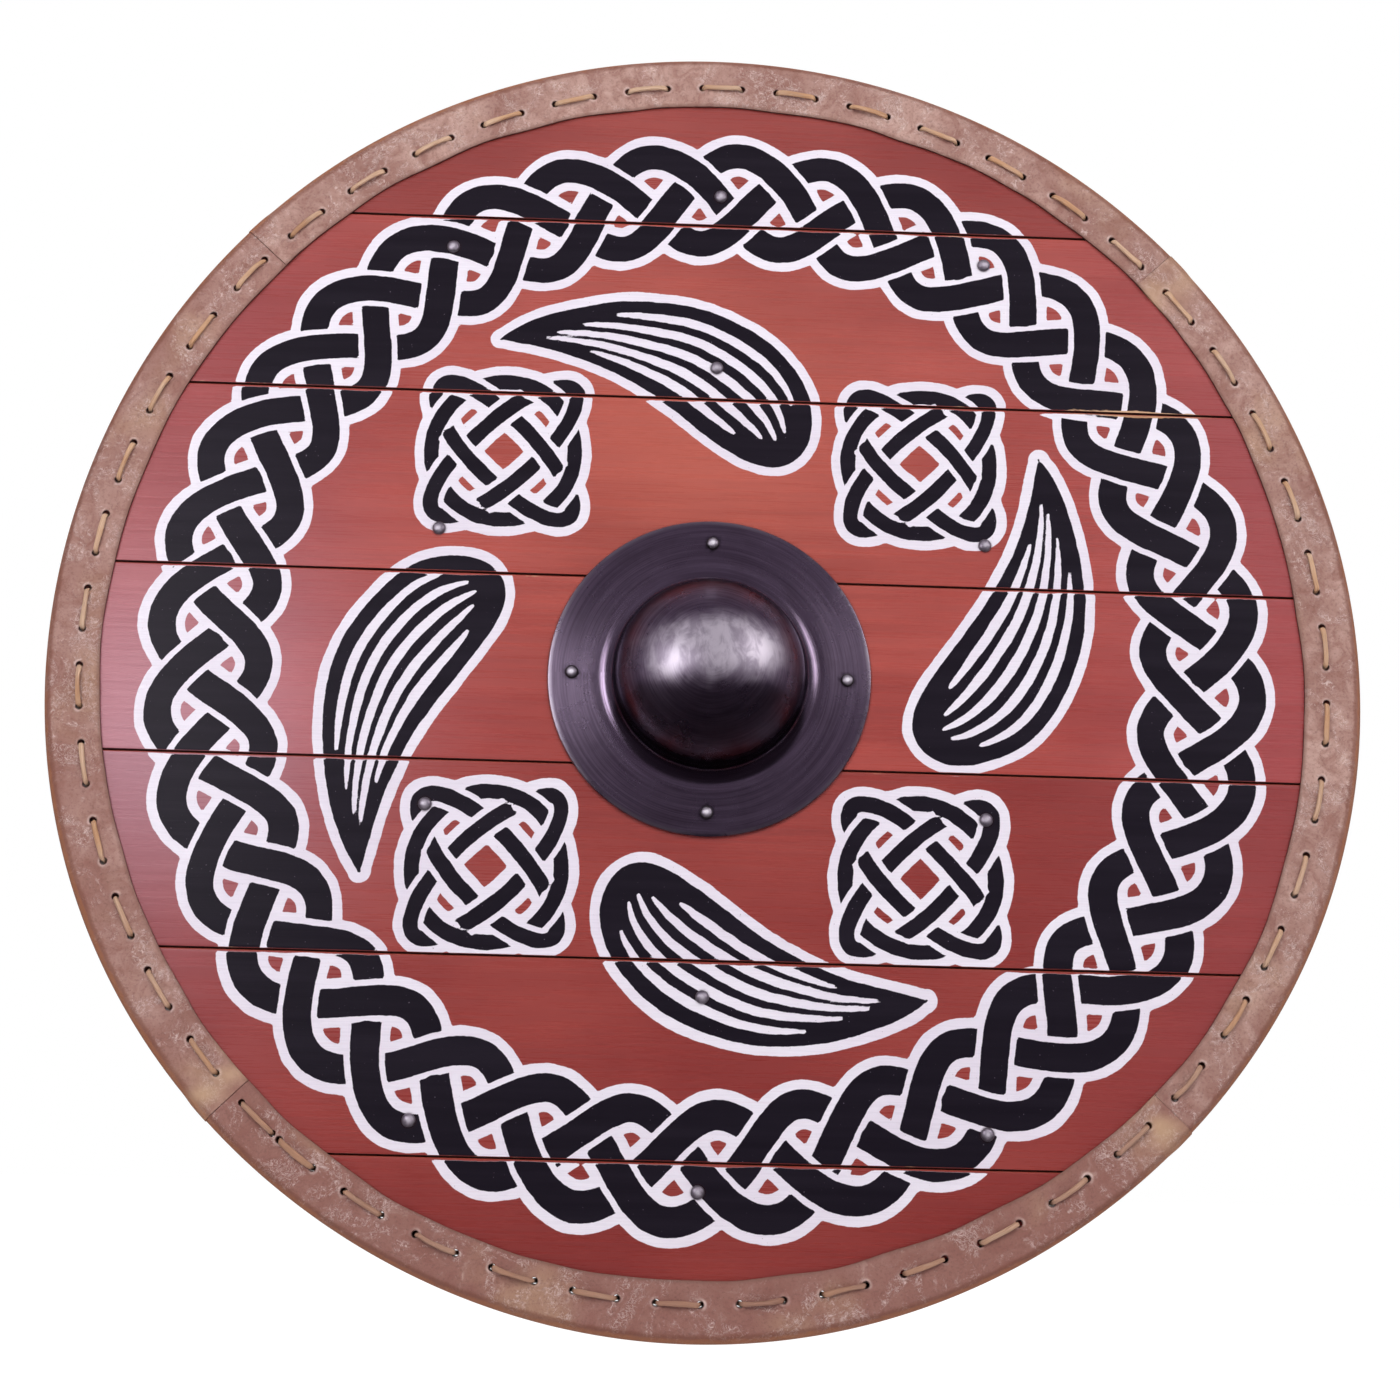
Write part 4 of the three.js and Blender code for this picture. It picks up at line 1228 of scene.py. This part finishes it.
def make_boss(material):
    edge = half_width("boss")
    outer, inner = boss_line(0), boss_line(BOSS_SHEET)
    shares = np.linspace(0, 1, FLANGE_STEPS + 1)[:-1, None]
    middle = SEAT_GAP + BOSS_SHEET / 2
    rim_top = np.array([edge - RIM_ROUND, SEAT_GAP + BOSS_SHEET])
    rim_low = np.array([edge - RIM_ROUND, SEAT_GAP])
    flange = rim_top + (outer[0] - rim_top) * shares
    under = rim_low + (inner[0] - rim_low) * shares
    rim = quarter_arc((edge - RIM_ROUND, middle), RIM_ROUND, BOSS_SHEET / 2, 4)
    mirrored = rim[::-1] * [1, -1] + [0, 2 * middle]
    profile = np.vstack([inner[::-1], under[::-1], mirrored[1:], rim[1:], flange[1:], outer])
    profile[:, 1] = BOARD_FRONT - profile[:, 1]
    piece = turned_piece("boss_shell", profile, BOSS_SEGMENTS, material)
    _, flat = corners_of(piece)
    radius = gap(flat)
    rivets = [centre_of(name) for name in FASTENERS if name.startswith("rivet_")]

    def ring(start, full, root_share, end_share):
        fading, end = (DOME_RADIUS + share * ROOT_WIDTH for share in (root_share, end_share))
        return smooth(radius, start, full) * (1 - smooth(radius, fading, end))

    set_values(
        piece,
        worn=0.9 * smooth(radius, edge - WORN_RIM, edge - BRIGHT_RIM),
        hollow=ring(DOME_RADIUS - HOLLOW_START, DOME_RADIUS, 0.5, 1.5),
        # painted shade over the dome's steep wall
        wall=ring(0.7 * DOME_RADIUS, 0.98 * DOME_RADIUS, 0, 0.4),
        # painted highlight on the crown
        crown=1.3 - gap((flat - CROWN_PLACE) / CROWN_REACH),
        # grime with painted shade round the rivet heads
        grime=0.85 * nearness(flat, rivets, RIVET_GRIME_START, RIVET_GRIME),
    )
    finish_piece(piece, "boss_steel", "boss")


# Nails, rivets and roves

HEAD_HEIGHT = 2.2 * MM
HEAD_FLAT_SHARE = 0.984  # of the head's height, where its crown is hammered flat
HEAD_GRIME_DEPTH = 0.5 * MM
HEAD_FINISHES = {"nail": (0.5, 0.55), "rivet": (0.9, 1.0)}  # shares of grime with painted shade, and of painted highlight
SHANK = 1.6 * MM
PEEN_RADIUS = 2.7 * MM
PEEN_HEIGHT = 1.3 * MM
PEEN_LIP = 0.1 * MM
ROVE_LIP = 0.7 * MM
ROVE_CROWN = 0.15 * MM
ROVE_GRIME = 1 * MM
NAIL_SEGMENTS = 28
HAMMER_DEPTH = 0.07 * MM
HAMMER_LENGTH = 4 * MM


def hammered_piece(node, profile, seed, material):
    """A small turned piece at its node's place, uneven from the hammer."""
    piece = turned_piece(f"steel_{node}", profile, NAIL_SEGMENTS, material, centre_of(node))
    corners, _ = corners_of(piece)
    dents = [ripples(corners, HAMMER_LENGTH, seed + axis) for axis in range(3)]
    corners = corners + HAMMER_DEPTH * np.stack(dents, axis=1)
    move_corners(piece, corners)
    return piece, corners[:, 1], gap(corners[:, [0, 2]], centre_of(node))


def make_fastener(node, number, material):
    low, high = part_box(node)
    head_radius = half_width(node)
    seat, peen = low.y + HEAD_HEIGHT, high.y - PEEN_HEIGHT
    dome = quarter_arc((0, 0), head_radius, -HEAD_HEIGHT, 8)[::-1]
    heights = np.maximum(dome[:, 1], -HEAD_HEIGHT * HEAD_FLAT_SHARE)
    profile = [[radius, seat + height] for radius, height in zip(dome[:, 0], heights)]
    profile[0][0] = 0
    profile += [
        [head_radius * 0.98, seat], [SHANK, seat], [SHANK, peen], [PEEN_RADIUS, peen + PEEN_LIP],
        [PEEN_RADIUS * 0.96, peen + PEEN_HEIGHT * 0.5], [PEEN_RADIUS * 0.6, peen + PEEN_HEIGHT * 0.9],
        [0, high.y],
    ]
    piece, level, radius = hammered_piece(node, profile, 100 + 7 * number, material)
    is_head = level < seat + HEAD_GRIME_DEPTH
    dirt, shine = HEAD_FINISHES[node.split("_")[0]]
    set_values(
        piece,
        # grime with painted shade on the head's skirt
        grime=dirt * is_head * smooth(radius, 0.5 * head_radius, 0.9 * head_radius),
        # painted highlight in the head's centre
        polish=shine * is_head * (1 - smooth(radius, 0.2 * head_radius, 0.5 * head_radius)),
    )
    finish_piece(piece, "nail_steel", node)


def make_rove(node, number, material):
    low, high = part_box(node)
    reach, bore, seat = half_width(node), SHANK + SEAT_GAP, low.y
    profile = [
        [bore, seat], [reach * 0.97, seat], [reach, seat + ROVE_LIP * 0.4],
        [reach * 0.97, seat + ROVE_LIP], [reach * 0.8, seat + ROVE_LIP * 1.45],
        [reach * 0.6, high.y - ROVE_CROWN], [PEEN_RADIUS, high.y], [bore, high.y], [bore, seat],
    ]
    piece, _, radius = hammered_piece(node, profile, 300 + 7 * number, material)
    # grime with painted shade round the peen
    set_values(piece, grime=0.6 * (1 - smooth(radius, PEEN_RADIUS, PEEN_RADIUS + ROVE_GRIME)), polish=0)
    finish_piece(piece, "nail_steel", node)


def make_fasteners(material):
    for number, node in enumerate(FASTENERS):
        make_fastener(node, number, material)
        make_rove("rove_" + node.split("_", 1)[1], number, material)


# Grip bar and battens

GRIP_SECTION = np.array([28 * MM, 20 * MM, 8.5 * MM])  # width, depth and radius of the corners
GRIP_HALF = 54 * MM
GRIP_FLARE = 20 * MM
BAR_DEPTH = 12 * MM
BAR_EASE = 2.2 * MM
BATTEN_TAPER = 18 * MM
BATTEN_TIP_DEPTH = 4 * MM
HANDLED_FADE = 25 * MM
WOOD_STEP = 3 * MM
CORNER_STEPS = 5
WOOD_SWAY = 0.15 * MM
WOOD_SWAY_LENGTH = 60 * MM
WOOD_DENT = 0.12 * MM
WOOD_DENT_LENGTH = 45 * MM
WOOD_SEAT = 1 * MM  # part of the depth, by the board, that stays true


def eased_section(width, depth, ease):
    """A rectangle with rounded corners, as [across, level] pairs. Level 0 is the front face."""
    turn = np.linspace(0, TURN / 4, CORNER_STEPS + 1)
    half = width / 2 - ease
    places = [(half, depth - ease), (-half, depth - ease), (-half, ease), (half, ease)]
    return np.vstack([
        place + polar(ease, turn + quarter * TURN / 4) for quarter, place in enumerate(places)
    ])


def make_timber(node, stations, material, handled_half=0):
    """Lofts rounded sections along Z. Each station is [height, width, depth, radius of the corners]."""
    low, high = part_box(node)
    table = np.array(stations)
    heights = np.concatenate([np.arange(low.z, high.z, WOOD_STEP), [high.z], table[:, 0]])
    rings = []
    for height in np.unique(heights.round(6)):
        width, depth, ease = (np.interp(height, table[:, 0], column) for column in table.T[1:])
        section = eased_section(width, depth, min(ease, 0.49 * depth))
        place = [centre_of(node)[0], low.y, height]
        rings.append(place + np.insert(section, 2, 0, axis=1))
    piece = grid_piece(f"wooden_{node}", np.stack(rings, axis=1), material)
    corners, _ = corners_of(piece)
    corners[:, 0] += WOOD_SWAY * ripples(corners, WOOD_SWAY_LENGTH, 61)
    dents = np.minimum(ripples(corners, WOOD_DENT_LENGTH, 62), 0)
    corners[:, 1] += WOOD_DENT * dents * (corners[:, 1] > low.y + WOOD_SEAT)
    move_corners(piece, corners)
    away = smooth(np.abs(corners[:, 2]), handled_half, handled_half + HANDLED_FADE)
    set_values(piece, handled=(1 - away) * (handled_half > 0))
    finish_piece(piece, "bare_wood", node)


def make_timbers(material):
    low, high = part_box("grip_bar")
    bar = np.array([high.x - low.x, BAR_DEPTH, BAR_EASE])
    flare = [
        [GRIP_HALF + GRIP_FLARE * share, *(GRIP_SECTION + (bar - GRIP_SECTION) * smooth(share, 0, 1))]
        for share in np.linspace(0, 1, 9)
    ]
    mirrored = [[-height, *section] for height, *section in reversed(flare)]
    stations = [[low.z, *bar], *mirrored, *flare, [high.z, *bar]]
    make_timber("grip_bar", stations, material, 0.8 * GRIP_HALF)
    for node in ("batten_left", "batten_right"):
        low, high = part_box(node)
        tip = [high.x - low.x, BATTEN_TIP_DEPTH, BAR_EASE / 2]
        body = [high.x - low.x, high.y - low.y, BAR_EASE]
        ends = [low.z + BATTEN_TAPER, high.z - BATTEN_TAPER]
        make_timber(node, [[low.z, *tip], [ends[0], *body], [ends[1], *body], [high.z, *tip]], material)


# Studio

FLOOR_LEVEL = -0.445
FLOOR_SIZE = 60
FLOOR_GLOW = 1.13
FLOOR_GLOW_SHARE = 0.86
ROOM_RADIUS = 4.5
ROOM_HALF_ANGLE = math.radians(125)
ROOM_OPEN_ANGLE = math.radians(22)  # height up to which the white backdrop shows beside the room
ROOM_GLOW = 0.2
WORLD_FILL = 0.8
# Softboxes that face the origin, each with its angle to the right and its height in degrees from
# straight in front of the shield, its distance, size, radiance, colour, and whether gloss mirrors it
LAMPS = {
    "left_softbox": (-34, 9.5, 1.46, (0.52, 0.56), 3.55, (0.96, 0.93, 0.985), True),
    "right_softbox": (46, 22, 2.0, (0.8, 0.8), 2.3, (1.0, 0.965, 0.99), True),
    "front_fill": (0, 38, 2.4, (3.2, 1.7), 2.62, (1.0, 0.985, 1.0), False),
    "back_fill": (165, 30, 2.6, (1.8, 1.8), 4.6, (1.0, 1.0, 1.0), False),
}


def make_world():
    """White to camera, mirror and glass, and a softer fill for all else."""
    finish = Finish("studio", "worlds")
    rays = finish.node("LightPath", {}).node.outputs
    seen = finish.math("MAXIMUM", rays["Is Camera Ray"], rays["Is Glossy Ray"])
    seen = finish.math("MAXIMUM", seen, rays["Is Transmission Ray"])
    strength = finish.node("MapRange", {0: seen, 3: WORLD_FILL})
    bpy.context.scene.world = finish.set("Background", Color=(255, 255, 255), Strength=strength)


def make_floor():
    """Nearly white to the camera, pale to soft light, and dark where steel or gloss mirrors it."""
    finish = Finish("pale_floor")
    grain = finish.noise(finish.place(), 3)
    pale = finish.set(Base_Color=finish.mix(grain, (236, 236, 238), (246, 246, 247)), Roughness=0.8)
    rays = finish.node("LightPath", {}).node.outputs
    glow = finish.node("Emission", {"Strength": FLOOR_GLOW})
    dark = finish.node("BsdfDiffuse", {"Color": (46, 40, 46)})
    share = finish.times(rays["Is Camera Ray"], FLOOR_GLOW_SHARE)
    plain = finish.tree.nodes["Principled BSDF"].outputs[0]
    seen = finish.node("MixShader", {0: share, 1: plain, 2: glow})
    surface = finish.node("MixShader", {0: rays["Is Glossy Ray"], 1: seen, 2: dark})
    finish.set("Material Output", Surface=surface)
    half = FLOOR_SIZE / 2
    sides = ((-half, -half), (half, -half), (half, half), (-half, half))
    corners = [(right, back, FLOOR_LEVEL) for right, back in sides]
    new_piece("floor", corners, [(0, 1, 2, 3)], pale)


def make_dark_room():
    """The unlit room round the camera, which steel and gloss mirror. It shows white to the camera."""
    finish = Finish("dark_room")
    seen = finish.node("LightPath", {}, "Is Camera Ray")
    colour = finish.mix(seen, (249, 231, 255), (255, 255, 255))
    strength = finish.span(seen, 0, 1, ROOM_GLOW, 1)
    glow = finish.node("Emission", {"Color": colour, "Strength": strength})
    material = finish.set("Material Output", Surface=glow)
    shells = {
        "dark_wall": (
            np.linspace(-ROOM_HALF_ANGLE, ROOM_HALF_ANGLE, 61),
            np.linspace(-TURN / 4, ROOM_OPEN_ANGLE, 31)[1:],
        ),
        "dark_ceiling": (
            np.linspace(-math.pi, math.pi, 81),
            np.linspace(ROOM_OPEN_ANGLE, TURN / 4, 21)[:-1],
        ),
    }
    for name, steps in shells.items():
        turn, lift = np.meshgrid(*steps)
        points = np.stack([np.cos(lift) * np.sin(turn), -np.cos(lift) * np.cos(turn), np.sin(lift)], -1)
        grid_piece(name, ROOM_RADIUS * points, material, False)


def make_lamps():
    for name, (azimuth, elevation, distance, size, radiance, colour, is_mirrored) in LAMPS.items():
        azimuth, elevation = math.radians(azimuth), math.radians(elevation)
        data = bpy.data.lights.new(name, "AREA")
        data.shape = "RECTANGLE"
        data.size, data.size_y = size
        data.energy = radiance * math.pi * size[0] * size[1]
        data.color = colour
        lamp = add_object(name, data)
        level = math.cos(elevation)
        ahead = Vector((level * math.sin(azimuth), -level * math.cos(azimuth), math.sin(elevation)))
        turn = ahead.to_track_quat("Z", "Y").to_matrix().to_4x4()
        lamp.matrix_world = Matrix.Translation(distance * ahead) @ turn
        lamp.visible_camera = False
        lamp.visible_glossy = is_mirrored


make_camera()
bpy.context.scene.view_settings.view_transform = "Standard"
make_world()
make_floor()
make_dark_room()
make_lamps()
cutters = make_cutters()
make_planks(make_painted_wood(), *cutters)
make_edging(make_rawhide(), cutters[0])
make_lace(make_lace_finish())
make_boss(make_boss_steel())
make_fasteners(make_nail_steel())
make_timbers(make_bare_wood())
for cutter in cutters:
    bpy.data.objects.remove(cutter)
